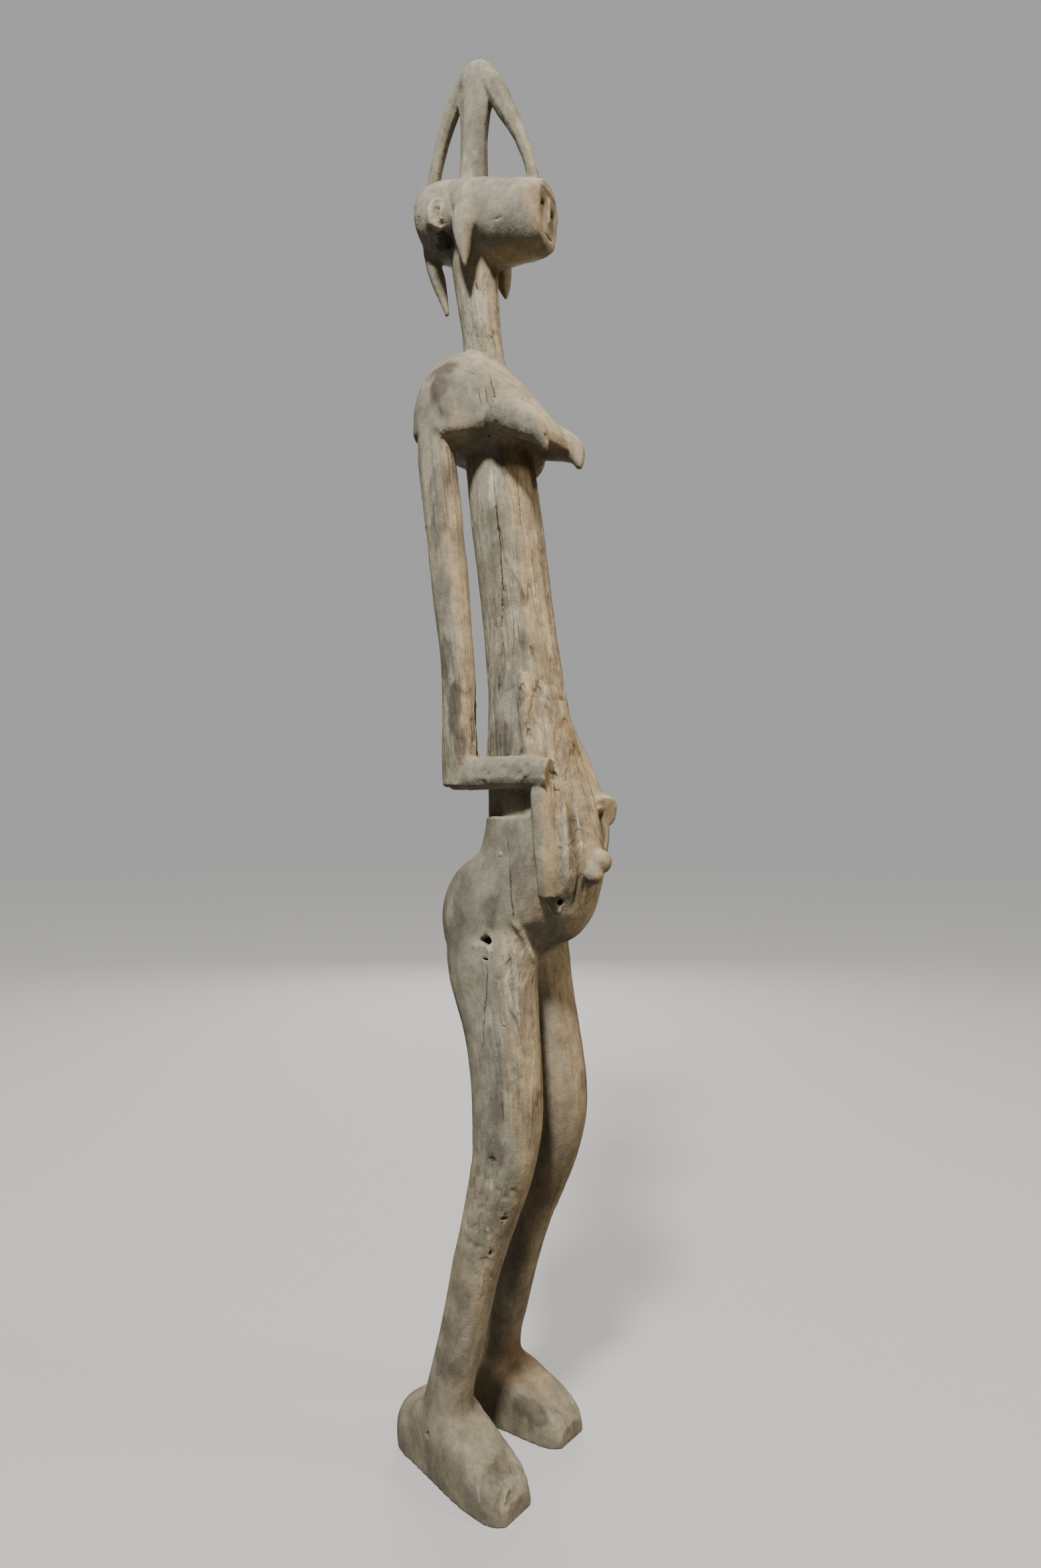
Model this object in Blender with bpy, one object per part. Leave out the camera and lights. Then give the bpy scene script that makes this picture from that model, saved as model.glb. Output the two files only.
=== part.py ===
# Tall male ritual figure, carved from one weathered log and standing on its own two feet.
# The figure faces -Y, its right hand is at -X, and +Z is up. Lengths are metres.
# It is a free form, so its carving is given in parts of its own height, from the sole to the top of the crest.
import math

import bmesh
import bpy
import numpy as np
from mathutils import Matrix, Vector

# Driving dimensions
FIGURE_HEIGHT = 1.50
CREST_TOP = 149.6
PART = FIGURE_HEIGHT / CREST_TOP

# How finely the round stretches are divided
RING_SIDES = 18
LEG_SIDES = 16
LIMB_SIDES = 12
THIN_SIDES = 8
STEPS = 2

# The head is turned a little to the figure's left on an upright axis in the middle of its neck
HEAD_TURN = math.radians(10)
HEAD_AXIS_Y = 1.0

# The spikes at the sides of the head end at these heights, the right one first
SPIKE_TIPS = (122.4, 123.4)
SPIKE_TIP_RADIUS = 0.15

# The left foot stands a little behind the right one, and so does the left thigh at the hip
LEFT_FOOT_BACK = 2.2
LEFT_THIGH_BACK = 1.3
LEFT_LEG_HEIGHTS = (9, 33, 38, 52)

# How square the nearly flat underside of the shoulders is
UNDERSIDE_SQUARENESS = 5.0

# How far out from the middle each groove between the worn toes lies, and its size
TOE_GROOVES = (4.4, 5.8, 7.1)
TOE_GROOVE_WIDTH = 0.8
TOE_GROOVE_DEPTH = 0.6

# The groove down the middle of the chest
CLEFT_TOP = (0, -4.2, 111.6)
CLEFT_END = (0, -10.6, 103.0)
CLEFT_WIDTH = 1.8
CLEFT_DEPTH = 0.9

# The block that cuts the soles flat is wider than both feet together
GROUND_SIZE = 40

# Points nearer than this are one point, in metres, and edges bent by more than this angle look sharp
MERGE_DISTANCE = 0.0001
SHARP_ANGLE = math.radians(35)

WOOD_COLOUR = (0.40, 0.34, 0.26, 1.0)
WOOD_ROUGHNESS = 0.85

# Upright columns of flat rings, from the bottom up.
# Each row: height, centre x, centre y, half width, half depth, squareness (2 is an ellipse)
TORSO = [
    (51.0, 0, -7.6, 1.5, 1.5, 2.0),
    (51.7, 0, -8.0, 3.0, 3.2, 2.0),
    (53.2, 0, -8.5, 4.0, 4.3, 2.1),
    (55.6, 0, -8.9, 4.6, 5.1, 2.3),
    (58.5, 0, -9.1, 4.8, 5.8, 2.4),
    (62.5, 0, -8.7, 4.6, 6.0, 2.3),
    (66.4, 0, -8.1, 4.4, 5.6, 2.2),
    (70.4, 0, -7.2, 4.3, 4.9, 2.1),
    (77.5, 0, -6.2, 4.0, 4.1, 2.0),
    (87.2, 0, -4.8, 3.7, 3.8, 2.0),
    (102.8, 0, -2.4, 3.7, 3.7, 2.0),
    (108.5, 0, -1.4, 3.2, 3.2, 2.0),
]
HIPS = [
    (48.0, 0, -2.4, 4.8, 2.8, 2.3),
    (49.5, 0, -2.9, 5.4, 4.4, 2.4),
    (51.5, 0, -3.6, 5.9, 6.1, 2.6),
    (54.0, 0, -4.6, 6.3, 7.5, 2.6),
    (57.2, 0, -5.6, 6.2, 7.6, 2.6),
    (58.8, 0, -6.4, 6.0, 6.9, 2.7),
    (60.3, 0, -7.9, 5.8, 5.5, 2.9),
    (61.6, 0, -8.4, 5.7, 5.2, 3.0),
    (64.0, 0, -8.7, 5.7, 4.7, 3.2),
]
NECK = [
    (111.0, 0, -0.6, 2.6, 2.6, 2.0),
    (114.5, 0, -0.2, 2.3, 2.3, 2.0),
    (118.7, 0, 0.4, 2.2, 2.2, 2.0),
    (126.4, 0, 1.3, 2.6, 2.6, 2.0),
    (131.0, 0, 1.6, 2.6, 2.6, 2.0),
]
LEG = [
    (2.0, 5.1, -0.4, 2.3, 2.6, 2.2),
    (7.0, 5.0, -0.4, 2.2, 2.5, 2.2),
    (10.4, 4.9, -1.3, 2.1, 2.3, 2.2),
    (14.7, 4.6, -2.3, 2.2, 2.3, 2.2),
    (18.6, 4.4, -3.2, 2.3, 2.4, 2.2),
    (22.6, 4.2, -4.3, 2.4, 2.7, 2.2),
    (27.3, 4.0, -5.8, 2.5, 3.2, 2.2),
    (31.2, 3.8, -6.7, 2.7, 3.5, 2.2),
    (34.2, 3.7, -6.9, 2.9, 3.6, 2.3),
    (38.5, 3.6, -6.6, 3.0, 3.8, 2.3),
    (43.3, 3.5, -5.9, 3.1, 4.1, 2.4),
    (47.6, 3.4, -4.8, 3.3, 4.9, 2.4),
    (52.0, 3.2, -4.4, 3.2, 5.2, 2.4),
    (56.5, 3.0, -5.0, 2.6, 5.2, 2.4),
]

# Level bars of upright rings, from the back to the front.
# Each row: distance forward, centre across, half width, lowest and highest height, squareness.
# The shoulders have one more height, that of their widest line, and are flat below it.
HEAD = [
    (-7.1, 0, 1.8, 130.7, 134.9, 2.0),
    (-6.4, 0, 3.0, 129.2, 136.0, 2.0),
    (-4.7, 0, 3.8, 127.8, 136.3, 2.1),
    (-2.0, 0, 4.1, 126.5, 135.8, 2.1),
    (1.5, 0, 4.0, 125.4, 134.8, 2.1),
    (5.0, 0, 3.5, 124.7, 133.6, 2.1),
    (8.0, 0, 2.9, 124.4, 132.5, 2.15),
    (9.2, 0, 2.4, 124.7, 132.0, 2.2),
]
SHOULDERS = [
    (-4.6, 0, 5.0, 105.2, 107.0, 110.4, 2.0),
    (-3.6, 0, 7.0, 103.6, 106.0, 113.0, 2.1),
    (-1.6, 0, 8.2, 102.9, 105.2, 114.6, 2.2),
    (0.6, 0, 8.2, 102.6, 104.9, 114.7, 2.2),
    (2.6, 0, 7.3, 102.7, 104.8, 113.1, 2.2),
    (5.0, 0, 5.4, 103.3, 104.9, 110.6, 2.2),
    (7.4, 0, 4.1, 103.3, 104.4, 107.6, 2.2),
    (9.2, 0, 3.3, 102.7, 103.5, 105.2, 2.2),
    (10.3, 0, 2.7, 102.0, 102.6, 103.2, 2.2),
]
FOOT = [
    (-6.0, 4.2, 1.9, -0.6, 3.4, 2.6),
    (-5.2, 4.2, 2.5, -1.8, 4.6, 3.0),
    (-2.6, 4.3, 2.9, -3.0, 5.9, 4.5),
    (1.0, 4.7, 3.1, -3.0, 6.2, 4.5),
    (4.0, 5.2, 3.1, -3.0, 5.1, 4.5),
    (7.0, 5.5, 3.0, -2.6, 3.6, 4.5),
    (9.0, 5.6, 2.6, -2.0, 2.6, 3.0),
    (9.9, 5.6, 1.8, -1.4, 1.8, 2.6),
]

# Limbs that follow a path: each row is x, y, z, half width across and half width along the other way
ARM = [
    (6.1, 0.4, 109.0, 2.0, 2.3),
    (6.4, 0.7, 105.3, 1.9, 2.0),
    (6.4, 0.0, 97.9, 1.9, 2.0),
    (6.5, -1.1, 90.8, 1.8, 1.9),
    (6.5, -1.9, 85.0, 1.7, 1.8),
    (6.5, -2.7, 78.7, 1.6, 1.7),
    (6.5, -3.0, 72.0, 1.7, 1.8),
    (6.5, -3.0, 67.1, 1.5, 1.7),
]
RIGHT_FOREARM = [
    (6.4, -2.0, 68.2, 1.4, 1.4),
    (6.2, -4.0, 68.3, 1.6, 1.6),
    (5.7, -6.8, 68.3, 1.6, 1.5),
    (5.0, -9.8, 68.3, 1.6, 1.5),
    (3.9, -12.4, 68.1, 1.5, 1.6),
]
LEFT_FOREARM = [
    (6.4, -2.0, 68.0, 1.4, 1.4),
    (6.2, -4.0, 67.6, 1.6, 1.6),
    (5.7, -7.0, 66.6, 1.6, 1.5),
    (4.9, -10.4, 65.4, 1.7, 1.6),
    (3.8, -13.3, 64.5, 1.6, 1.6),
]
BREAST = [
    (4.1, -5.6, 105.3, 2.1, 1.9),
    (3.6, -8.4, 103.7, 1.6, 1.4),
    (3.1, -10.2, 102.4, 1.2, 1.1),
    (2.9, -10.9, 101.1, 0.6, 0.6),
    (2.85, -11.1, 100.3, 0.25, 0.25),
]
RIGHT_UPPER_HAND = [
    (3.6, -10.9, 67.5, 1.5, 1.0),
    (3.6, -10.2, 71.0, 1.6, 0.9),
    (3.3, -9.3, 75.0, 1.4, 0.7),
    (3.0, -8.6, 78.2, 0.8, 0.4),
]
LEFT_UPPER_HAND = [
    (3.6, -12.3, 64.5, 1.5, 1.2),
    (3.5, -11.3, 67.5, 1.6, 1.0),
    (3.3, -9.7, 71.5, 1.4, 0.7),
    (3.0, -8.6, 75.2, 0.8, 0.4),
]
RIGHT_LOWER_HAND = [
    (3.9, -11.5, 67.4, 1.5, 1.0),
    (4.0, -12.0, 64.0, 1.7, 1.0),
    (4.1, -12.4, 60.0, 1.6, 1.0),
    (4.0, -12.4, 56.4, 1.2, 0.8),
]
LEFT_LOWER_HAND = [
    (3.9, -12.0, 65.2, 1.5, 1.1),
    (4.0, -12.3, 62.6, 1.6, 1.0),
    (3.9, -12.3, 60.4, 1.3, 0.9),
    (3.8, -12.0, 58.4, 0.9, 0.6),
]
FRONT_BAND = [
    (0, -10.6, 75.5, 0.9, 0.6),
    (0, -12.2, 70.0, 1.4, 0.6),
    (0, -13.7, 65.0, 1.6, 0.7),
    (0, -14.5, 60.4, 1.4, 0.9),
]

# The crest and the spikes are part of the head: x is across it, y is forward, z is the height
POST = [
    (0, -0.4, 132.5, 2.0, 2.3),
    (0, -0.4, 136.0, 1.5, 1.9),
    (0, -0.4, 140.0, 1.35, 1.7),
    (0, -0.2, 143.6, 1.4, 2.0),
    (0, 0.0, 146.0, 1.4, 2.7),
    (0, -0.1, 148.6, 1.1, 2.2),
]
BACK_BAR = [
    (0, -0.6, 148.2, 1.0, 1.0),
    (0, -2.3, 147.0, 0.9, 1.1),
    (0, -4.0, 143.9, 0.8, 0.85),
    (0, -5.3, 140.2, 0.75, 0.7),
    (0, -6.1, 136.4, 0.8, 0.75),
    (0, -6.1, 134.0, 0.9, 0.8),
]
FRONT_BAR = [
    (0, 0.4, 148.2, 1.1, 1.1),
    (0, 2.0, 146.2, 1.1, 1.3),
    (0, 3.8, 142.6, 1.0, 1.05),
    (0, 5.9, 138.1, 0.85, 0.75),
    (0, 7.2, 133.8, 0.8, 0.65),
    (0, 7.4, 131.4, 0.9, 0.8),
]
SIDE_RIB = [
    (1.6, 0.2, 133.6, 0.9, 1.6),
    (3.2, 0.3, 132.2, 0.9, 1.5),
    (4.0, 0.6, 130.0, 0.7, 1.3),
    (4.2, 0.9, 127.6, 0.9, 1.5),
    (4.2, 1.1, 125.3, 0.7, 1.0),
]
BACK_SPIKE = [
    (0, -5.8, 132.6, 1.2, 1.2),
    (0, -6.4, 130.8, 1.0, 1.0),
    (0, -6.1, 128.7, 0.9, 0.9),
    (0, -5.3, 126.1, 0.8, 0.8),
    (0, -4.6, 123.8, 0.55, 0.55),
    (0, -3.9, 121.2, 0.2, 0.2),
]


def clear_scene():
    for old in list(bpy.data.objects):
        bpy.data.objects.remove(old, do_unlink=True)


def smooth_rows(rows, steps):
    """The rows, with steps - 1 more between each two on a smooth curve through them all."""
    rows = np.array(rows, float)
    gaps = np.linalg.norm(np.diff(rows[:, :3], axis=0), axis=1)
    at = np.concatenate([[0], np.cumsum(gaps)])
    slopes = np.gradient(rows, at, axis=0)
    result = [rows[0]]
    for i in range(len(rows) - 1):
        for step in range(1, steps + 1):
            t = step / steps
            a = (1 + 2 * t) * (1 - t) ** 2
            b = t * (1 - t) ** 2
            c = t * t * (3 - 2 * t)
            d = t * t * (t - 1)
            result.append(a * rows[i] + b * gaps[i] * slopes[i] + c * rows[i + 1] + d * gaps[i] * slopes[i + 1])
    return result


def oval(sides, half_u, half_v, squareness=2.0):
    """Points round an ellipse, or round a box with round corners where squareness is over 2."""
    points = []
    for i in range(sides):
        angle = 2 * math.pi * (i + 0.5) / sides
        c, s = math.cos(angle), math.sin(angle)
        u = math.copysign(abs(c) ** (2 / squareness), c) * half_u
        v = math.copysign(abs(s) ** (2 / squareness), s) * half_v
        points.append((u, v))
    return points


def solid(name, rings):
    """One closed body skinned over the rings, with flat ends, its faces pointing out."""
    bm = bmesh.new()
    loops = [[bm.verts.new(Vector(p) * PART) for p in ring] for ring in rings]
    sides = len(loops[0])
    for low, high in zip(loops, loops[1:]):
        for i in range(sides):
            j = (i + 1) % sides
            bm.faces.new((low[i], low[j], high[j], high[i]))
    bm.faces.new(list(reversed(loops[0])))
    bm.faces.new(loops[-1])
    bmesh.ops.recalc_face_normals(bm, faces=bm.faces)
    mesh = bpy.data.meshes.new(name)
    bm.to_mesh(mesh)
    bm.free()
    piece = bpy.data.objects.new(name, mesh)
    bpy.context.scene.collection.objects.link(piece)
    return piece


def in_place(height):
    """No setting back at any height, for every column but the left leg."""
    return 0.0


def left_leg_back(height):
    """How far the left leg stands behind the right one at a height: at the ankle and at the hip."""
    return float(np.interp(height, LEFT_LEG_HEIGHTS, (LEFT_FOOT_BACK, 0.0, 0.0, LEFT_THIGH_BACK)))


def column(name, rows, side=1, sides=RING_SIDES, set_back=in_place):
    """A solid of flat rings stacked upwards; side mirrors it to the figure's right (-1)."""
    rings = []
    for height, cx, cy, half_x, half_y, square in smooth_rows(rows, STEPS):
        back = cy + set_back(height)
        rings.append([(side * cx + u, back + v, height) for u, v in oval(sides, half_x, half_y, square)])
    return solid(name, rings)


def barrel(name, rows, side=1, back=0.0):
    """A solid of upright rings set one in front of the other."""
    rings = []
    for forward, cx, half_x, low, high, square in smooth_rows(rows, STEPS):
        middle = (low + high) / 2
        rings.append([(side * cx + u, back - forward, middle + v)
                      for u, v in oval(RING_SIDES, half_x, (high - low) / 2, square)])
    return solid(name, rings)


def vault(name, rows):
    """A barrel that is round above its widest line and nearly flat below it."""
    rings = []
    for forward, cx, half_x, low, widest, high, square in smooth_rows(rows, STEPS):
        above = oval(RING_SIDES, half_x, high - widest, square)
        below = oval(RING_SIDES, half_x, widest - low, UNDERSIDE_SQUARENESS)
        rings.append([(cx + u, -forward, widest + v)
                      for u, v in (a if a[1] > 0 else b for a, b in zip(above, below))])
    return solid(name, rings)


def limb(name, rows, side=1, sides=LIMB_SIDES, across=(1, 0, 0), squareness=2.2):
    """A solid that follows a path, with its rings square to the path and across kept level."""
    rows = smooth_rows(rows, STEPS)
    centres = [Vector((side * row[0], row[1], row[2])) for row in rows]
    rings = []
    for i, row in enumerate(rows):
        ahead = centres[min(i + 1, len(rows) - 1)] - centres[max(i - 1, 0)]
        ahead.normalize()
        wide = Vector(across) - ahead * ahead.dot(Vector(across))
        wide.normalize()
        deep = ahead.cross(wide)
        rings.append([centres[i] + wide * u + deep * v for u, v in oval(sides, row[3], row[4], squareness)])
    return solid(name, rings)


def crest_limb(name, rows, side=1, sides=THIN_SIDES, squareness=2.2):
    """A limb of the head's own, whose rows count forward from the head's upright axis."""
    facing = [(x, -forward, z, wide, deep) for x, forward, z, wide, deep in rows]
    return limb(name, facing, side, sides, squareness=squareness)


def ball(name, centre, radii, sides=LIMB_SIDES, rings=6):
    """A rounded lump, egg or lens of the given half sizes."""
    bm = bmesh.new()
    bmesh.ops.create_uvsphere(bm, u_segments=sides, v_segments=rings, radius=1.0)
    place = Matrix.Translation(Vector(centre) * PART) @ Matrix.Diagonal((*(r * PART for r in radii), 1))
    bmesh.ops.transform(bm, matrix=place, verts=bm.verts)
    mesh = bpy.data.meshes.new(name)
    bm.to_mesh(mesh)
    bm.free()
    piece = bpy.data.objects.new(name, mesh)
    bpy.context.scene.collection.objects.link(piece)
    return piece


def wedge(name, start, end, width, depth, inwards):
    """A V-shaped groove cutter from start to end, whose edge is depth under the line they give."""
    start, end, inwards = Vector(start), Vector(end), Vector(inwards).normalized()
    along = (end - start).normalized()
    across = along.cross(inwards).normalized()
    rings = []
    places = (start - along * width, (start + end) / 2, end + along * width)
    for at, width_share, depth_share in zip(places, (0.3, 1.0, 0.3), (0.1, 1.0, 0.1)):
        half = width / 2 * width_share
        rise = inwards * -width
        rings.append([at + inwards * depth * depth_share, at + across * half + rise, at - across * half + rise])
    return solid(name, rings)


def turn_head(pieces):
    """Turns the head's pieces about the upright axis in the middle of the neck."""
    axis = Vector((0, HEAD_AXIS_Y * PART, 0))
    place = Matrix.Translation(axis) @ Matrix.Rotation(HEAD_TURN, 4, "Z")
    for piece in pieces:
        piece.data.transform(place)


def combine(body, tools, operation):
    """Joins the tools to the body or cuts them from it, and removes them."""
    for tool in tools:
        tool.hide_render = True
        tool.display_type = "WIRE"
        step = body.modifiers.new(tool.name, "BOOLEAN")
        step.operation = operation
        step.solver = "EXACT"
        step.object = tool
    bpy.context.view_layer.update()
    done = bpy.data.meshes.new_from_object(body.evaluated_get(bpy.context.evaluated_depsgraph_get()))
    body.modifiers.clear()
    body.data = done
    for tool in tools:
        bpy.data.objects.remove(tool, do_unlink=True)


def make_head():
    """The long turned head with its ears, side ribs, spikes, dished face and three-legged crest."""
    head = barrel("head", HEAD)
    lumps = [crest_limb("post", POST, squareness=1.6)]
    lumps.append(crest_limb("back_bar", BACK_BAR))
    lumps.append(crest_limb("front_bar", FRONT_BAR))
    lumps.append(crest_limb("back_spike", BACK_SPIKE))
    lumps.append(ball("crest_cap", (0, 0.0, 147.2), (1.5, 2.4, 2.4)))
    cuts = []
    for side, tip in zip((-1, 1), SPIKE_TIPS):
        spike_end = (4.3, 1.3, tip, SPIKE_TIP_RADIUS, SPIKE_TIP_RADIUS)
        lumps.append(crest_limb("side_rib", SIDE_RIB + [spike_end], side))
        lumps.append(ball("ear", (side * 3.8, 2.7, 130.0), (1.0, 1.6, 1.9)))
        cuts.append(ball("ear_hollow", (side * 5.0, 2.5, 130.2), (0.6, 0.9, 1.1), THIN_SIDES))
        cuts.append(ball("hollow_below_ear", (side * 3.9, 3.0, 126.3), (2.0, 1.9, 2.0)))
    combine(head, lumps, "UNION")
    for side in (-1, 1):
        cuts.append(ball("face_dish", (side * 1.15, -9.7, 128.0), (0.85, 1.0, 2.5)))
        cuts.append(ball("eye", (side * 1.1, -8.9, 129.3), (0.5, 0.6, 0.35)))
    combine(head, cuts, "DIFFERENCE")
    turn_head([head])
    return head


def make_foot(side, back):
    """A slab foot with a flat sole, a round heel and worn toes."""
    foot = barrel("foot", FOOT, side, back)
    grooves = []
    for across in TOE_GROOVES:
        start = (side * across, back - 6.4, 4.0)
        end = (side * (across + 0.2), back - 10.4, 1.4)
        grooves.append(wedge("toe_groove", start, end, TOE_GROOVE_WIDTH, TOE_GROOVE_DEPTH, (0, 0.35, -1)))
    combine(foot, grooves, "DIFFERENCE")
    return foot


def make_ground():
    """The block below z = 0 that both soles are cut flat by."""
    half = GROUND_SIZE / 2
    corners = [(-half, -half), (half, -half), (half, half), (-half, half)]
    return solid("ground", [[(x, y, height) for x, y in corners] for height in (-GROUND_SIZE, 0)])


def make_figure():
    """The whole carving as one body, joined from its parts and cut flat underfoot."""
    figure = column("figure", TORSO)
    pieces = [column("hips", HIPS), column("neck", NECK, sides=LEG_SIDES), vault("shoulders", SHOULDERS)]
    pieces.append(limb("front_band", FRONT_BAND))
    pieces.append(ball("knob_upper", (0.2, -15.4, 59.7), (1.1, 1.0, 1.15)))
    pieces.append(ball("knob_lower", (-0.5, -15.0, 58.5), (1.0, 0.95, 1.0)))
    pieces.append(column("right_leg", LEG, -1, LEG_SIDES))
    pieces.append(column("left_leg", LEG, 1, LEG_SIDES, left_leg_back))
    pieces.append(make_foot(-1, 0.0))
    pieces.append(make_foot(1, LEFT_FOOT_BACK))
    right_arm = (-1, RIGHT_FOREARM, RIGHT_UPPER_HAND, RIGHT_LOWER_HAND)
    left_arm = (1, LEFT_FOREARM, LEFT_UPPER_HAND, LEFT_LOWER_HAND)
    for side, forearm, upper_hand, lower_hand in (right_arm, left_arm):
        pieces.append(limb("arm", ARM, side))
        pieces.append(limb("forearm", forearm, side, across=(0, 0, 1), squareness=2.8))
        pieces.append(limb("upper_hand", upper_hand, side))
        pieces.append(limb("lower_hand", lower_hand, side))
        pieces.append(limb("breast", BREAST, side, across=(0, 0, 1)))
    pieces.append(make_head())
    combine(figure, pieces, "UNION")
    cleft = wedge("cleft", CLEFT_TOP, CLEFT_END, CLEFT_WIDTH, CLEFT_DEPTH, (0, 0.7, -0.7))
    combine(figure, [cleft, make_ground()], "DIFFERENCE")
    return figure


def clean(figure):
    """Merges stray points, stands the figure on z = 0 and centres it over the origin."""
    bm = bmesh.new()
    bm.from_mesh(figure.data)
    bmesh.ops.remove_doubles(bm, verts=bm.verts, dist=MERGE_DISTANCE)
    bmesh.ops.dissolve_degenerate(bm, dist=MERGE_DISTANCE, edges=bm.edges)
    bmesh.ops.triangulate(bm, faces=bm.faces)
    low = [min(v.co[i] for v in bm.verts) for i in range(3)]
    high = [max(v.co[i] for v in bm.verts) for i in range(3)]
    shift = (-(low[0] + high[0]) / 2, -(low[1] + high[1]) / 2, -low[2])
    bmesh.ops.translate(bm, verts=bm.verts, vec=shift)
    bm.to_mesh(figure.data)
    bm.free()
    figure.data.shade_smooth()
    figure.data.set_sharp_from_angle(angle=SHARP_ANGLE)


def wood_material():
    wood = bpy.data.materials.new("weathered_wood")
    wood.use_nodes = True
    shader = wood.node_tree.nodes["Principled BSDF"]
    shader.inputs["Base Color"].default_value = WOOD_COLOUR
    shader.inputs["Roughness"].default_value = WOOD_ROUGHNESS
    shader.inputs["Metallic"].default_value = 0.0
    return wood


clear_scene()
carving = make_figure()
clean(carving)
carving.data.materials.clear()
carving.data.materials.append(wood_material())
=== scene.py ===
import math

import bmesh
import bpy
import numpy as np
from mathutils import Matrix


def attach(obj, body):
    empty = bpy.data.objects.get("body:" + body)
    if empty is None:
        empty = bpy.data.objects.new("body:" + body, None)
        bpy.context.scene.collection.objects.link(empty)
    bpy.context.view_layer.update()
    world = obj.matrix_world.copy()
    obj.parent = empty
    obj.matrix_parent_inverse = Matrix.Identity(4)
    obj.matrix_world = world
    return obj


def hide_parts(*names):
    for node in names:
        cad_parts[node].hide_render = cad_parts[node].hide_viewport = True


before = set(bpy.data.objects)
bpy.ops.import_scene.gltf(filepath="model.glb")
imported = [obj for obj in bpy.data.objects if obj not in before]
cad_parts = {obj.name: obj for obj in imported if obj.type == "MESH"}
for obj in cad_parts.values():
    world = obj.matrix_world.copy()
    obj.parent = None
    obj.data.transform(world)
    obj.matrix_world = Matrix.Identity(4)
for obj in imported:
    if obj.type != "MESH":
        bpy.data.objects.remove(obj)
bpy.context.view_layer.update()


# The log: one length of dense wood, cut down with an adze and a knife to the whole standing figure.
# Its solid gives the form. A fine closed skin is laid over a copy of it, and the corners between its flat
# faces are worn round, so that the marks of the tools and of the weather can be cut into it below.
SKIN_SPACING = 0.0015
# How often each point moves in towards its neighbours and back out, by these shares of the way
WEAR_ROUNDS = 36
WEAR_IN = 0.50
WEAR_OUT = -0.516
# Points of the solid this close together are one point
MERGE_DISTANCE = 0.000001
# An egg-shaped place counts in full out to the first share of its half sizes, and not at all past the second
EGG_EDGES = (0.6, 1.15)
# Where the wearing is held back, so that small carving stays crisp: middle, half sizes, share kept
CRISP_PLACES = [
    ((0.000, 0.040, 1.300), (0.060, 0.100, 0.060), 0.75),
    ((0.000, 0.030, 1.420), (0.030, 0.110, 0.085), 0.55),
    ((0.000, -0.060, 1.025), (0.060, 0.050, 0.020), 0.50),
    ((0.000, -0.080, 0.640), (0.070, 0.060, 0.130), 0.60),
    ((0.000, -0.040, 0.020), (0.110, 0.040, 0.030), 0.40),
]
# The spikes beside the head wear slimmer and a little shorter than they were roughed out
SPIKE_MIDDLES = [(-0.050, 0.033, 1.262), (0.044, 0.047, 1.262)]
SPIKE_REACH = (0.018, 0.030, 0.055)
SPIKE_ROOT = 1.270
SPIKE_SLIMMING = 0.25
SPIKE_LIFT = 0.19
# The big plain forms are worn much longer, until no flat face is left on them: middle, half sizes
PLAIN_ROUNDS = 70
PLAIN_PLACES = [
    ((0.005, 0.048, 1.305), (0.070, 0.085, 0.042)),
    ((0.005, 0.010, 1.275), (0.065, 0.075, 0.030)),
    ((0.000, 0.045, 1.160), (0.050, 0.050, 0.030)),
    ((0.000, 0.015, 1.085), (0.110, 0.085, 0.070)),
    ((0.000, 0.005, 0.550), (0.100, 0.095, 0.085)),
    ((-0.045, -0.020, 0.310), (0.055, 0.080, 0.260)),
    ((0.045, -0.020, 0.310), (0.055, 0.080, 0.260)),
    ((-0.0080, -0.1085, 0.6045), (0.012, 0.012, 0.010)),
    ((-0.0085, -0.1155, 0.5935), (0.009, 0.009, 0.008)),
    ((-0.050, 0.020, 0.060), (0.050, 0.080, 0.045)),
    ((0.050, 0.035, 0.060), (0.050, 0.080, 0.045)),
]


def soft_step(values, low, high):
    """0 below low, 1 above high and a smooth slope between them."""
    t = np.clip((values - low) / (high - low), 0, 1)
    return t * t * (3 - 2 * t)


def egg_reach(points, middle, half_sizes):
    """How far each point lies from the middle of an egg-shaped place, 1 being its edge."""
    return np.linalg.norm((points - np.array(middle)) / np.array(half_sizes), axis=1)


def inside_egg(points, middle, half_sizes):
    """1 at the middle of an egg-shaped place, falling smoothly to 0 at its edge."""
    return 1 - soft_step(egg_reach(points, middle, half_sizes), *EGG_EDGES)


def strongest(points, places, least=0.0):
    """The most that any of these egg-shaped places gives each point."""
    most = np.full(len(points), least)
    for middle, half_sizes, amount in places:
        most = np.maximum(most, amount * inside_egg(points, middle, half_sizes))
    return most


def points_of(mesh):
    points = np.zeros(len(mesh.vertices) * 3)
    mesh.vertices.foreach_get("co", points)
    return points.reshape(-1, 3)


def edges_of(mesh):
    edges = np.zeros(len(mesh.edges) * 2, dtype=np.int64)
    mesh.edges.foreach_get("vertices", edges)
    return edges.reshape(-1, 2)


def put_points(mesh, points):
    mesh.vertices.foreach_set("co", points.ravel())
    mesh.update()


def directions_of(mesh, points):
    """The way out of the wood at each point, once the mesh has these points."""
    put_points(mesh, points)
    out = np.zeros(len(mesh.vertices) * 3)
    mesh.vertex_normals.foreach_get("vector", out)
    return out.reshape(-1, 3)


def finished_mesh(wood):
    """The plain mesh that an object's modifiers make of it."""
    depsgraph = bpy.context.evaluated_depsgraph_get()
    return bpy.data.meshes.new_from_object(wood.evaluated_get(depsgraph))


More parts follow.
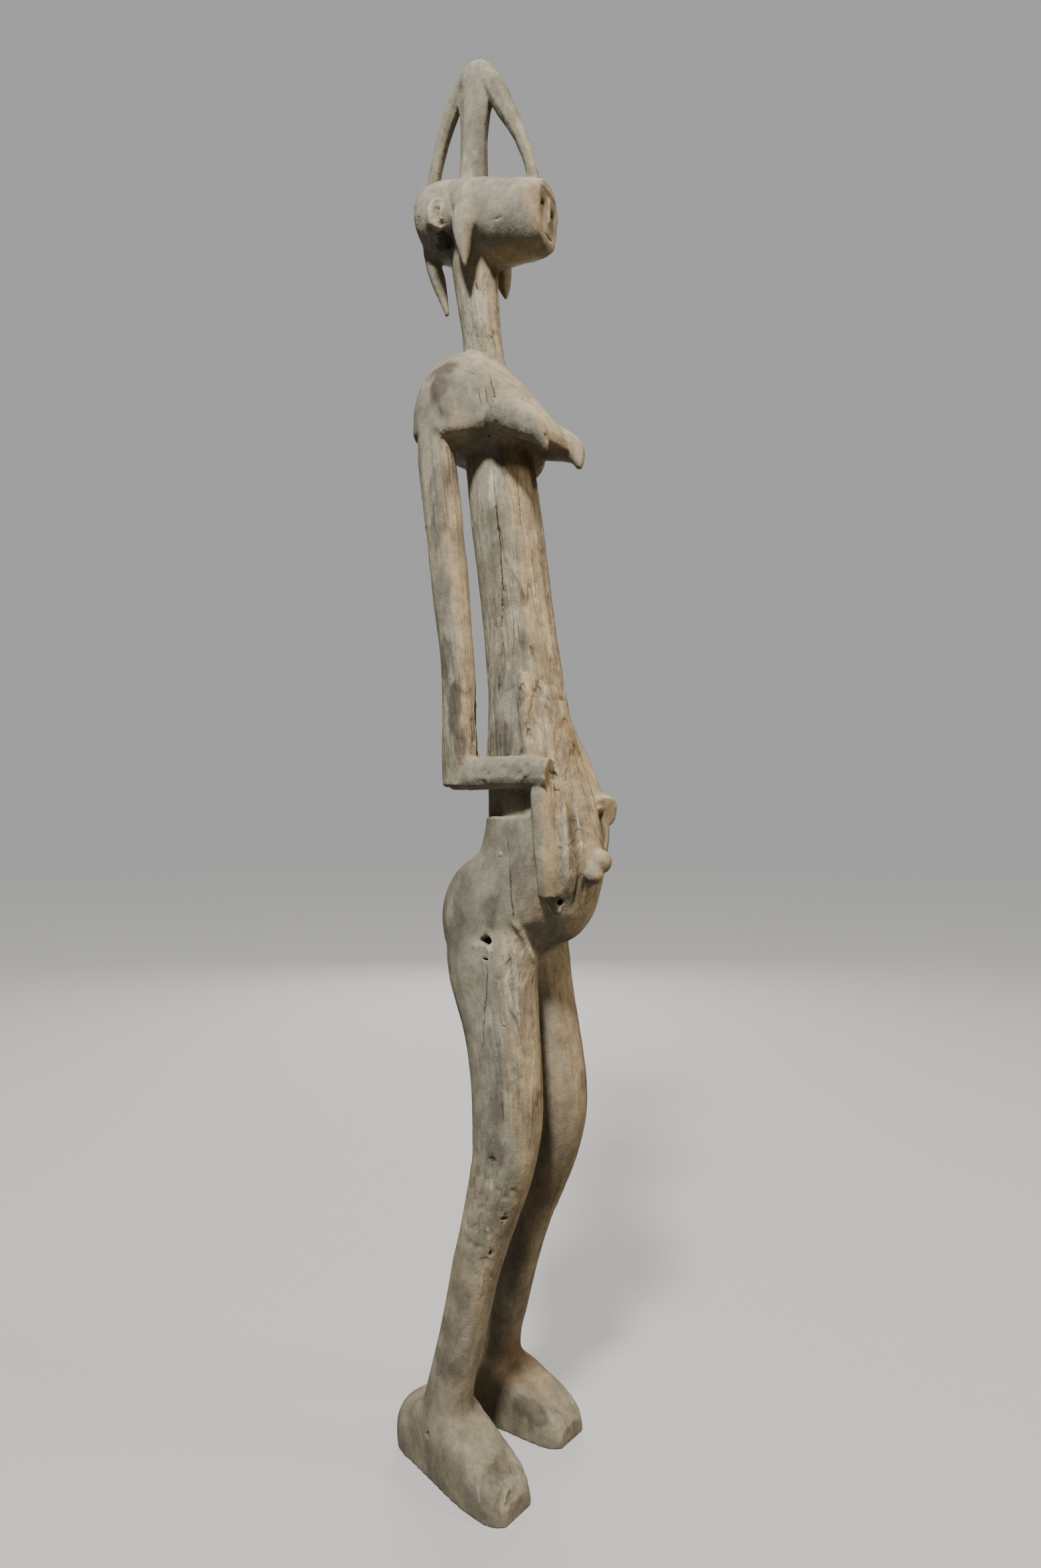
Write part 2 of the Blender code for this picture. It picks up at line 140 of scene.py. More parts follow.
def wear_round(points, edges, rounds, share, steps):
    """Each round moves every point towards its neighbours by these steps. One below 0 goes back out again."""
    ends = np.concatenate([edges[:, 0], edges[:, 1]])
    others = np.concatenate([edges[:, 1], edges[:, 0]])
    worn = share[ends] > 0
    ends, others = ends[worn], others[worn]
    order = np.argsort(ends, kind="stable")
    ends, others = ends[order], others[order]
    moved, firsts, counts = np.unique(ends, return_index=True, return_counts=True)
    for _ in range(rounds):
        for step in steps:
            middles = np.add.reduceat(points[others], firsts, axis=0) / counts[:, None]
            points[moved] += step * share[moved, None] * (middles - points[moved])
    return points


log = bmesh.new()
log.from_mesh(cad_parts["figure"].data)
bmesh.ops.remove_doubles(log, verts=log.verts, dist=MERGE_DISTANCE)
rough_mesh = bpy.data.meshes.new("rough_form")
log.to_mesh(rough_mesh)
log.free()
rough_form = bpy.data.objects.new("rough_form", rough_mesh)
bpy.context.scene.collection.objects.link(rough_form)
skin_step = rough_form.modifiers.new("skin", "REMESH")
skin_step.mode = "VOXEL"
skin_step.voxel_size = SKIN_SPACING
skin_step.adaptivity = 0.0
skin = finished_mesh(rough_form)
skin.name = "skin"
bpy.data.objects.remove(rough_form)

points = points_of(skin)
worn_share = 1 - strongest(points, CRISP_PLACES)
points = wear_round(points, edges_of(skin), WEAR_ROUNDS, worn_share, (WEAR_IN, WEAR_OUT))
plain_share = strongest(points, [(middle, half_sizes, 1.0) for middle, half_sizes in PLAIN_PLACES])
points = wear_round(points, edges_of(skin), PLAIN_ROUNDS, plain_share, (WEAR_IN,))
# The soles stay on the ground
points[:, 2] = np.maximum(points[:, 2], 0.0)
for middle in SPIKE_MIDDLES:
    share = inside_egg(points, middle, SPIKE_REACH)
    points[:, 1] -= SPIKE_SLIMMING * share * (points[:, 1] - middle[1])
    points[:, 2] += SPIKE_LIFT * share * np.clip(SPIKE_ROOT - points[:, 2], 0, None)
outward = directions_of(skin, points)


# The lines of the knife and of the cracks: where each runs over the wood, as points along it.
# The skin gets more points beside them, so that each can be cut cleanly in the sections below.

# Drying cracks, along the fibres and longest down the right flank: half width, depth, then the points
CRACKS = [
    (0.0005, 0.0045, [
        (-0.0326, -0.0054, 1.0100), (-0.0340, -0.0067, 0.9799), (-0.0339, -0.0095, 0.9666),
        (-0.0340, -0.0141, 0.9349), (-0.0343, -0.0172, 0.9024), (-0.0345, -0.0192, 0.8786),
        (-0.0361, -0.0197, 0.8542), (-0.0377, -0.0194, 0.8302), (-0.0385, -0.0192, 0.8063)]),
    (0.0005, 0.0030, [
        (-0.0344, 0.0016, 1.1111), (-0.0396, -0.0060, 1.0977), (-0.0443, -0.0157, 1.0778),
        (-0.0490, -0.0210, 1.0680), (-0.0535, -0.0252, 1.0575), (-0.0558, -0.0279, 1.0467)]),
    (0.0004, 0.0016, [
        (-0.0484, -0.0065, 1.0856), (-0.0504, -0.0112, 1.0693), (-0.0583, -0.0211, 1.0520)]),
    (0.0004, 0.0014, [
        (-0.0537, -0.0031, 1.0804), (-0.0547, -0.0059, 1.0693), (-0.0544, -0.0084, 1.0596)]),
    (0.0004, 0.0012, [
        (-0.0581, 0.0154, 1.1046), (-0.0540, 0.0098, 1.1022), (-0.0503, 0.0038, 1.0989)]),
    (0.0006, 0.0050, [
        (-0.0576, -0.0482, 0.6045), (-0.0577, -0.0501, 0.5874), (-0.0580, -0.0503, 0.5697),
        (-0.0570, -0.0520, 0.5515), (-0.0540, -0.0520, 0.5399)]),
    (0.0004, 0.0012, [
        (-0.0565, -0.0439, 0.6261), (-0.0567, -0.0449, 0.6159), (-0.0574, -0.0473, 0.6058)]),
    (0.0005, 0.0030, [
        (-0.0636, -0.0238, 0.5069), (-0.0645, -0.0265, 0.4869), (-0.0656, -0.0257, 0.4699),
        (-0.0663, -0.0238, 0.4527), (-0.0657, -0.0225, 0.4291), (-0.0656, -0.0217, 0.4089)]),
    (0.0004, 0.0016, [
        (-0.0633, -0.0443, 0.3720), (-0.0633, -0.0451, 0.3630), (-0.0631, -0.0458, 0.3526)]),
    (0.0007, 0.0020, [
        (-0.0175, 0.0338, 1.2280), (-0.0172, 0.0330, 1.2180)]),
    (0.0004, 0.0010, [
        (-0.0672, -0.0060, 0.7457), (-0.0650, -0.0067, 0.7274), (-0.0631, -0.0068, 0.7110)]),
    (0.0004, 0.0010, [
        (-0.0597, -0.0053, 0.7546), (-0.0575, -0.0052, 0.7281)]),
    (0.0005, 0.0014, [
        (-0.0391, -0.0198, 0.7892), (-0.0396, -0.0184, 0.7758), (-0.0401, -0.0180, 0.7637)]),
    (0.0005, 0.0014, [
        (-0.0412, -0.0486, 0.7737), (-0.0440, -0.0502, 0.7633), (-0.0464, -0.0514, 0.7537)]),
    (0.0004, 0.0009, [
        (-0.0147, -0.0210, 1.0089), (-0.0165, -0.0253, 0.9791), (-0.0190, -0.0310, 0.9351)]),
    (0.0004, 0.0009, [
        (-0.0102, -0.0369, 0.9223), (-0.0108, -0.0409, 0.8936), (-0.0116, -0.0450, 0.8652)]),
    (0.0008, 0.0035, [
        (0.0330, -0.0040, 0.9900), (0.0350, -0.0090, 0.9300), (0.0370, -0.0130, 0.8700)]),
    (0.0008, 0.0035, [
        (0.0020, 0.0310, 0.9800), (0.0030, 0.0260, 0.9100), (0.0010, 0.0190, 0.8300)]),
    (0.0008, 0.0035, [
        (0.0560, -0.0200, 0.6000), (0.0580, -0.0180, 0.5700), (0.0600, -0.0180, 0.5400)]),
]
# Carved edges, ridges and grooves: half width, height (minus is cut in), how dark its bottom is, its points.
# First the right hand and belly, then the left hand, hip and thigh, arm, chest, neck, ear, face and feet.
STRIPS = [
    (0.0034, -0.0012, 0.10, [
        (-0.0506, -0.0673, 0.7024), (-0.0489, -0.0634, 0.7239), (-0.0335, -0.0584, 0.7565),
        (-0.0190, -0.0568, 0.7783), (-0.0125, -0.0593, 0.7829)]),
    (0.0034, -0.0016, 0.22, [
        (-0.0084, -0.0603, 0.7814), (-0.0082, -0.0644, 0.7628), (-0.0094, -0.0711, 0.7461),
        (-0.0154, -0.0731, 0.7222), (-0.0199, -0.0790, 0.6960)]),
    (0.0105, 0.0017, 0.00, [
        (-0.0350, -0.0735, 0.6990), (-0.0320, -0.0690, 0.7230), (-0.0215, -0.0650, 0.7510),
        (-0.0130, -0.0600, 0.7740)]),
    (0.0040, 0.0022, 0.00, [
        (-0.0249, -0.0892, 0.6619), (-0.0301, -0.0954, 0.6262), (-0.0324, -0.0978, 0.5892),
        (-0.0282, -0.0962, 0.5702)]),
    (0.0036, -0.0022, 0.40, [
        (-0.0209, -0.0934, 0.6574), (-0.0246, -0.0992, 0.6262), (-0.0243, -0.1028, 0.6073),
        (-0.0221, -0.1043, 0.5928), (-0.0206, -0.1007, 0.5700), (-0.0197, -0.0921, 0.5487)]),
    (0.0030, 0.0012, 0.00, [
        (-0.0167, -0.0966, 0.6562), (-0.0187, -0.1027, 0.6287), (-0.0176, -0.1065, 0.6034)]),
    (0.0016, -0.0008, 0.25, [
        (-0.0498, -0.0861, 0.6537), (-0.0509, -0.0885, 0.6349), (-0.0508, -0.0916, 0.6039)]),
    (0.0016, -0.0008, 0.25, [
        (-0.0364, -0.0876, 0.6552), (-0.0396, -0.0915, 0.6256), (-0.0378, -0.0933, 0.5974)]),
    (0.0020, -0.0010, 0.35, [
        (-0.0394, -0.0801, 0.5613), (-0.0289, -0.0855, 0.5464)]),
    (0.0020, -0.0018, 0.50, [
        (-0.0433, -0.0858, 0.6854), (-0.0262, -0.0798, 0.6840), (-0.0237, -0.0835, 0.6788)]),
    (0.0016, -0.0014, 0.50, [
        (-0.0359, -0.0856, 0.6686), (-0.0259, -0.0867, 0.6670)]),
    (0.0045, -0.0040, 0.80, [
        (0.0335, -0.0912, 0.6475), (0.0363, -0.0924, 0.6287), (0.0402, -0.0920, 0.6112)]),
    (0.0050, 0.0018, 0.00, [
        (-0.0543, -0.0522, 0.5440), (-0.0424, -0.0538, 0.5244), (-0.0345, -0.0548, 0.5116),
        (-0.0263, -0.0548, 0.4992)]),
    (0.0050, -0.0008, 0.05, [
        (-0.0560, -0.0460, 0.5400), (-0.0500, -0.0500, 0.5240), (-0.0440, -0.0530, 0.5090)]),
    (0.0050, 0.0007, 0.00, [
        (-0.0567, -0.0399, 0.5329), (-0.0565, -0.0432, 0.5016), (-0.0575, -0.0458, 0.4705),
        (-0.0589, -0.0470, 0.4397)]),
    (0.0040, -0.0007, 0.08, [
        (-0.0545, -0.0450, 0.5250), (-0.0535, -0.0475, 0.4950), (-0.0540, -0.0495, 0.4640)]),
    (0.0050, 0.0007, 0.00, [
        (-0.0521, -0.0478, 0.5204), (-0.0505, -0.0507, 0.4890), (-0.0506, -0.0533, 0.4579),
        (-0.0523, -0.0547, 0.4335)]),
    (0.0040, -0.0007, 0.08, [
        (-0.0480, -0.0510, 0.5150), (-0.0460, -0.0535, 0.4850), (-0.0465, -0.0560, 0.4540)]),
    (0.0045, -0.0014, 0.20, [
        (-0.0755, -0.0033, 0.6952), (-0.0778, 0.0007, 0.6822), (-0.0790, 0.0040, 0.6731)]),
    (0.0090, -0.0020, 0.00, [
        (-0.0688, 0.0556, 1.1098), (-0.0815, 0.0402, 1.0775), (-0.0805, 0.0323, 1.0585),
        (-0.0763, 0.0211, 1.0405)]),
    (0.0024, -0.0012, 0.20, [
        (-0.0330, -0.0735, 1.0207), (-0.0304, -0.0739, 1.0128)]),
    (0.0030, -0.0007, 0.10, [
        (-0.0069, -0.0097, 1.1077), (-0.0136, -0.0255, 1.0874), (-0.0208, -0.0404, 1.0664)]),
    (0.0024, 0.0008, 0.00, [
        (-0.0153, 0.0308, 1.2142), (-0.0153, 0.0298, 1.1981), (-0.0157, 0.0284, 1.1817)]),
    (0.0024, -0.0006, 0.10, [
        (-0.0210, 0.0483, 1.1719), (-0.0188, 0.0284, 1.1624), (-0.0015, 0.0188, 1.1635)]),
    (0.0024, -0.0007, 0.12, [
        (-0.0204, 0.0487, 1.1558), (-0.0201, 0.0272, 1.1459), (-0.0124, 0.0187, 1.1454)]),
    (0.0042, 0.0028, 0.00, [
        (-0.0475, 0.0590, 1.3196), (-0.0490, 0.0680, 1.3196), (-0.0480, 0.0746, 1.3096),
        (-0.0475, 0.0724, 1.2955), (-0.0443, 0.0640, 1.2862), (-0.0420, 0.0560, 1.2866)]),
    (0.0066, -0.0022, 0.06, [
        (-0.0483, 0.0620, 1.3100), (-0.0484, 0.0660, 1.3034), (-0.0475, 0.0630, 1.2941)]),
    (0.0026, -0.0020, 0.30, [
        (-0.0483, 0.0600, 1.3070), (-0.0484, 0.0650, 1.3024), (-0.0485, 0.0626, 1.2941)]),
    (0.0026, 0.0018, 0.00, [
        (-0.0483, 0.0575, 1.3090), (-0.0484, 0.0590, 1.3010), (-0.0475, 0.0590, 1.2930)]),
    (0.0040, -0.0012, 0.06, [
        (-0.0394, 0.0284, 1.3128), (-0.0416, 0.0252, 1.2974), (-0.0435, 0.0234, 1.2837)]),
    (0.0045, -0.0018, 0.08, [
        (-0.0402, 0.0527, 1.3249), (-0.0432, 0.0486, 1.3062), (-0.0486, 0.0430, 1.2900)]),
    (0.0010, -0.0020, 0.70, [
        (-0.0436, 0.0984, 1.3181), (-0.0396, 0.1026, 1.3099)]),
    (0.0030, 0.0020, 0.00, [
        (0.0160, -0.0402, 1.3075), (0.0162, -0.0412, 1.2914), (0.0164, -0.0422, 1.2754)]),
    (0.0016, -0.0016, 0.60, [
        (0.0078, -0.0396, 1.2624), (0.0160, -0.0402, 1.2614), (0.0236, -0.0368, 1.2624)]),
    (0.0026, 0.0014, 0.00, [
        (-0.0015, -0.0392, 1.3105), (0.0160, -0.0402, 1.3135), (0.0321, -0.0333, 1.3105)]),
    (0.0014, -0.0024, 0.90, [
        (0.0002, -0.0369, 1.2955), (0.0086, -0.0385, 1.2975)]),
    (0.0014, -0.0024, 0.90, [
        (0.0298, -0.0317, 1.2955), (0.0224, -0.0360, 1.2975)]),
    (0.0034, 0.0012, 0.00, [
        (-0.0764, -0.0555, 0.0095), (-0.0725, -0.0537, 0.0179), (-0.0654, -0.0523, 0.0231),
        (-0.0552, -0.0500, 0.0257)]),
    (0.0030, -0.0012, 0.08, [
        (-0.0799, -0.0522, 0.0070), (-0.0767, -0.0510, 0.0190), (-0.0689, -0.0505, 0.0242),
        (-0.0574, -0.0470, 0.0268)]),
    (0.0016, 0.0007, 0.00, [
        (-0.0812, -0.0313, 0.0297), (-0.0834, -0.0343, 0.0235), (-0.0847, -0.0363, 0.0165)]),
    (0.0034, -0.0026, 0.25, [
        (0.0470, -0.0205, 0.0288), (0.0491, -0.0293, 0.0241), (0.0530, -0.0366, 0.0166)]),
]
# How near every line the skin gets more points, and how near the cracks it gets them once more
FINE_REACH = 0.0040
FINEST_REACH = 0.0022
# The most that a line's own points may lie above or below the skin
LINE_LIFT = 0.009
# A crack turns from fibre to fibre: how often, how far to the side, in at least so many points
JAG_STEP = 0.005
JAG_SIDEWAYS = 0.0004
FEWEST_JAGS = 3
JAG_SEED = 21


def nearest_on(points, outward, line):
    """How far each point lies from a line along the surface, the way to it, and how far along it (0 to 1)."""
    line = np.array(line)
    lengths = np.linalg.norm(np.diff(line, axis=0), axis=1)
    starts = np.concatenate([[0], np.cumsum(lengths)])
    gap = np.full(len(points), np.inf)
    way = np.zeros_like(points)
    along = np.zeros(len(points))
    for a, b, start, length in zip(line, line[1:], starts, lengths):
        t = np.clip((points - a) @ (b - a) / length ** 2, 0, 1)
        to_line = a + t[:, None] * (b - a) - points
        lift = (to_line * outward).sum(axis=1)
        level = to_line - outward * lift[:, None]
        distance = np.linalg.norm(level, axis=1)
        closer = (distance < gap) & (np.abs(lift) < LINE_LIFT)
        gap[closer] = distance[closer]
        way[closer] = level[closer]
        along[closer] = ((start + t * length) / starts[-1])[closer]
    return gap, way, along


def close_to(points, line, reach):
    """The points in a box around a line, with room for what the line lies off the skin."""
    low = np.min(line, axis=0) - (reach + LINE_LIFT)
    high = np.max(line, axis=0) + (reach + LINE_LIFT)
    return np.where(((points > low) & (points < high)).all(axis=1))[0]


def jagged(line, dice):
    """The line with a point at every step, each a little off it, as wood splits from fibre to fibre."""
    line = np.array(line)
    lengths = np.linalg.norm(np.diff(line, axis=0), axis=1)
    at = np.concatenate([[0], np.cumsum(lengths)])
    places = np.linspace(0, at[-1], max(FEWEST_JAGS, int(at[-1] / JAG_STEP)))
    result = np.stack([np.interp(places, at, line[:, axis]) for axis in range(3)], axis=1)
    result[:, :2] += dice.normal(0, JAG_SIDEWAYS, (len(result), 2))
    return result


def add_points_beside(mesh, lines, reach):
    """Halves every edge of the mesh that lies within reach of one of the lines."""
    wanted = np.zeros(len(points), dtype=bool)
    for line in lines:
        near = close_to(points, line, reach)
        gap, _, _ = nearest_on(points[near], outward[near], line)
        wanted[near[gap < reach]] = True
    fine = bmesh.new()
    fine.from_mesh(mesh)
    chosen = [edge for edge in fine.edges if wanted[edge.verts[0].index] and wanted[edge.verts[1].index]]
    bmesh.ops.subdivide_edges(fine, edges=chosen, cuts=1, use_grid_fill=True)
    fine.to_mesh(mesh)
    fine.free()


dice = np.random.default_rng(JAG_SEED)
splits = [(half_width, depth, jagged(line, dice)) for half_width, depth, line in CRACKS]
crack_lines = [line for _, _, line in splits]
strip_lines = [line for *_, line in STRIPS]
for lines, reach in ((crack_lines + strip_lines, FINE_REACH), (crack_lines, FINEST_REACH)):
    add_points_beside(skin, lines, reach)
    points = points_of(skin)
    outward = directions_of(skin, points)


# The knife work: the hands laid on the belly, the curled ears, the face and the toes were cut with a knife.
# Each strip of the list above is raised or sunk along its own line. What is sunk is painted darker, as grime
# and as painted shade; what is raised is painted paler, as wear and as painted highlight.
STRIP_EDGES = (0.15, 1.0)
STRIP_END_STEEPNESS = 8
# How much paler a raised strip is painted: worn wood and painted highlight
RIDGE_PALENESS_AND_HIGHLIGHT = 0.6


def strip_share(near, line, half_width):
    """1 on a strip's middle line, falling to 0 at its sides and at its two ends."""
    gap, _, along = nearest_on(points[near], outward[near], line)
    ends = np.clip(STRIP_END_STEEPNESS * along * (1 - along), 0, 1)
    return (1 - soft_step(gap / half_width, *STRIP_EDGES)) * ends


cut = np.zeros(len(points))
pale = np.zeros(len(points))
for half_width, height, dark, line in STRIPS:
    near = close_to(points, line, half_width)
    share = strip_share(near, line, half_width)
    points[near] += outward[near] * (share * height)[:, None]
    # The floor of a sunk strip is painted dark: grime and painted shade
    cut[near] = np.maximum(cut[near], share * dark)
    # A raised strip is painted paler, as wear and as painted highlight
    if height > 0:
        pale[near] = np.maximum(pale[near], share * RIDGE_PALENESS_AND_HIGHLIGHT)
outward = directions_of(skin, points)


# The fibres: the wood's grain runs the length of the log, and bends with it through the thighs and the belly.
# These are the fibres' own coordinates, across, across and along, and every mark of grain below follows them.

# The way that the fibres at the middle lean, as how far back they lie at each height, then how far the legs'
# fibres stand out to each side
TRUNK_HEIGHTS = (0.00, 0.07, 0.19, 0.31, 0.39, 0.48, 0.56, 0.62, 0.70, 0.87, 1.08, 1.19, 1.31, 1.50)
TRUNK_BACK = (0.038, 0.037, 0.009, -0.027, -0.026, -0.008, -0.012, -0.042, -0.031, -0.008, 0.026, 0.044,
              0.056, 0.048)
SPLAY_HEIGHTS = (0.00, 0.10, 0.30, 0.48, 0.54)
SPLAY = (0.051, 0.049, 0.038, 0.034, 0.000)
# The waves that break up every pattern: how many heights they draw on, how a cell picks its own, and how far
# each row of cells is shifted against the next, so that no rows show
WAVE_HEIGHTS = 4096
WAVE_PICKS = (73856093, 19349663, 83492791)
SHIFT_ALONG = (0.61, 0.47)
SHIFT_ACROSS = (0.37, 0.11)


def fibre_place(points):
    """Where each point lies in the log's own grain: two ways across and one along it."""
    height = points[:, 2]
    across = points[:, 0] - np.sign(points[:, 0]) * np.interp(height, SPLAY_HEIGHTS, SPLAY)
    back = points[:, 1] - np.interp(height, TRUNK_HEIGHTS, TRUNK_BACK)
    return np.stack([across, back, height], axis=1)


def ripple(places, cell, seed):
    """Smooth waves from -1 to 1, about one to each cell of the given size."""
    heights = np.random.default_rng(seed).uniform(-1, 1, WAVE_HEIGHTS)
    cells = places / np.array(cell)
    cells[:, 2] += SHIFT_ALONG[0] * cells[:, 0] + SHIFT_ALONG[1] * cells[:, 1]
    cells[:, 0] += SHIFT_ACROSS[0] * cells[:, 1] + SHIFT_ACROSS[1] * cells[:, 2]
    base = np.floor(cells).astype(np.int64)
    t = soft_step(cells - base, 0, 1)
    total = np.zeros(len(places))
    for along, back, across in np.ndindex(2, 2, 2):
        corner = np.array([across, back, along])
        picks = (base + corner) * np.array(WAVE_PICKS)
        key = (picks[:, 0] ^ picks[:, 1] ^ picks[:, 2]) % WAVE_HEIGHTS
        total += heights[key] * np.prod(np.where(corner, t, 1 - t), axis=1)
    return total


def two_ripples(places, wide, narrow, narrow_share, seeds):
    """Wide waves with a share of narrow ones on them: the cell of each, the share and the seed of each."""
    return ripple(places, wide, seeds[0]) + narrow_share * ripple(places, narrow, seeds[1])


fibre = fibre_place(points)


# The weathering: rain and wind have eaten the soft wood between the hard fibres, most on the belly, the lower
# trunk and the thighs, where flame-shaped flakes are gone. Pits and the low swells of handwork go with them.

# How far gone the wood is in each place (middle, half sizes, share), and at the least everywhere
LEAST_WEATHERED = 0.10
WEATHERED_PLACES = [
    ((-0.020, -0.040, 0.780), (0.055, 0.060, 0.130), 1.00),
    ((0.020, -0.040, 0.780), (0.055, 0.060, 0.130), 1.00),
    ((0.000, -0.010, 0.960), (0.050, 0.060, 0.110), 0.55),
    ((0.000, -0.075, 0.665), (0.055, 0.050, 0.080), 0.80),
    ((0.000, -0.095, 0.600), (0.050, 0.016, 0.060), 0.45),
    ((-0.065, 0.010, 0.760), (0.030, 0.035, 0.150), 0.55),
    ((0.065, 0.010, 0.760), (0.030, 0.035, 0.150), 0.55),
    ((-0.065, 0.035, 0.960), (0.030, 0.035, 0.120), 0.40),
    ((0.065, 0.035, 0.960), (0.030, 0.035, 0.120), 0.40),
    ((0.000, 0.035, 1.190), (0.035, 0.035, 0.090), 0.50),
    ((-0.045, -0.055, 0.430), (0.035, 0.040, 0.110), 0.60),
    ((0.045, -0.050, 0.430), (0.035, 0.040, 0.120), 0.35),
    ((-0.055, -0.035, 0.260), (0.030, 0.040, 0.100), 0.38),
    ((0.055, -0.035, 0.260), (0.030, 0.040, 0.100), 0.30),
]
# Where it is pitted all ways rather than along its fibres: the forearms, the shoulders' rims and the toes
PITTED_PLACES = [
    ((-0.060, -0.050, 0.682), (0.045, 0.080, 0.024), 1.00),
    ((0.060, -0.040, 0.670), (0.045, 0.050, 0.030), 0.70),
    ((0.000, -0.020, 1.036), (0.090, 0.070, 0.014), 0.80),
    ((0.000, -0.050, 0.025), (0.110, 0.030, 0.030), 0.70),
    ((-0.055, -0.025, 0.250), (0.030, 0.040, 0.110), 0.70),
    ((0.000, 0.100, 1.310), (0.050, 0.040, 0.040), 0.60),
    ((-0.045, -0.055, 0.450), (0.035, 0.035, 0.080), 0.50),
]
# Where the wood is still sound and close-grained: the forearms and the far hand
SOUND_SHARE = 0.85
SOUND_PLACES = [
    ((-0.060, -0.050, 0.682), (0.045, 0.080, 0.024)),
    ((0.060, -0.050, 0.670), (0.045, 0.080, 0.030)),
    ((0.036, -0.088, 0.650), (0.026, 0.030, 0.050)),
]
# Flakes, thin splinters between them, and pits: the cells, share and seeds of their waves, between which
# heights of the waves the wood goes, and how deep
FLAKE_WAVES = ((0.015, 0.015, 0.055), (0.006, 0.006, 0.026), 0.5, (11, 12))
FLAKE_EDGES = (0.20, 0.34)
FLAKE_DEPTH = 0.0014
SPLINTER_WAVES = ((0.0065, 0.0065, 0.045), (0.0035, 0.0035, 0.020), 0.5, (15, 16))
SPLINTER_EDGES = (0.42, 0.58)
SPLINTER_DEPTH = 0.0009
PIT_WAVES = ((0.0055, 0.0055, 0.006), (0.010, 0.010, 0.012), 0.4, (13, 17))
PIT_EDGES = (0.10, 0.75)
PIT_DEPTH = 0.0013
# How pitted the weathered places are, as a share of how far gone they are
WEATHERED_PITTING = 0.5
# The unevenness of handwork, in long low swells
SWELL = (0.026, 0.026, 0.050)
SWELL_HEIGHT = 0.0011
SWELL_SEED = 14
# Between these heights above the ground the marks fade in, so that the soles stay flat
SOLE_EDGES = (0.003, 0.012)

weathered = strongest(points, WEATHERED_PLACES, LEAST_WEATHERED)
for middle, half_sizes in SOUND_PLACES:
    weathered *= 1 - SOUND_SHARE * inside_egg(points, middle, half_sizes)
flake = two_ripples(fibre, *FLAKE_WAVES)
splinter = two_ripples(fibre, *SPLINTER_WAVES)
lost = soft_step(flake, *FLAKE_EDGES) * FLAKE_DEPTH + soft_step(splinter, *SPLINTER_EDGES) * SPLINTER_DEPTH
lost *= weathered
pitted = np.maximum(strongest(points, PITTED_PLACES), WEATHERED_PITTING * weathered)
lost += soft_step(two_ripples(points, *PIT_WAVES), *PIT_EDGES) * PIT_DEPTH * pitted
uneven = ripple(fibre, SWELL, SWELL_SEED) * SWELL_HEIGHT
sole_clear = soft_step(points[:, 2], *SOLE_EDGES)
points = points + outward * ((uneven - lost) * sole_clear)[:, None]


# The tool marks and the open grain: the adze left long shallow scoops side by side down every limb, and the
# fibres stand out as fine ribs between them. A Geometry Nodes tree cuts both over the whole skin by one rule.
SCOOP_WIDTH = 0.017
SCOOP_LENGTH = 0.048
SCOOP_DEPTH = 0.0007
RIB_WIDTH = 0.0042
RIB_LENGTH = 0.085
RIB_DEPTH = 0.0032
RIB_DETAIL = 2.0
# A scoop's floor rises with this power of the way from its middle. A rib stands where the noise is further
# than the level from its own middle
SCOOP_CURVE = 2.0
RIB_LEVEL = 0.08
NOISE_MIDDLE = 0.5
MARK_SEED = 4.0


def link_chain(tree, *pairs):
    for source, target in pairs:
        tree.links.new(source, target)


def maths(tree, kind, first, second):
    node = tree.nodes.new("ShaderNodeMath")
    node.operation = kind
    for socket, value in zip(node.inputs, (first, second)):
        if isinstance(value, (int, float)):
            socket.default_value = value
        else:
            tree.links.new(value, socket)
    return node.outputs[0]


def off_level(tree, value, level):
    """How far a value is from a level, to either side."""
    return maths(tree, "ABSOLUTE", maths(tree, "SUBTRACT", value, level), 0.0)


def attribute_in(tree, name, kind):
    node = tree.nodes.new("GeometryNodeInputNamedAttribute")
    node.data_type = kind
    node.inputs["Name"].default_value = name
    return node.outputs["Attribute"]


def stretched(tree, place, width, length):
    """The fibres' coordinates counted in marks of this width and length."""
    sizes = tree.nodes.new("ShaderNodeCombineXYZ")
    for axis, value in zip("XYZ", (width, width, length)):
        tree.links.new(value, sizes.inputs[axis])
    divide = tree.nodes.new("ShaderNodeVectorMath")
    divide.operation = "DIVIDE"
    link_chain(tree, (place, divide.inputs[0]), (sizes.outputs[0], divide.inputs[1]))
    return divide.outputs[0]


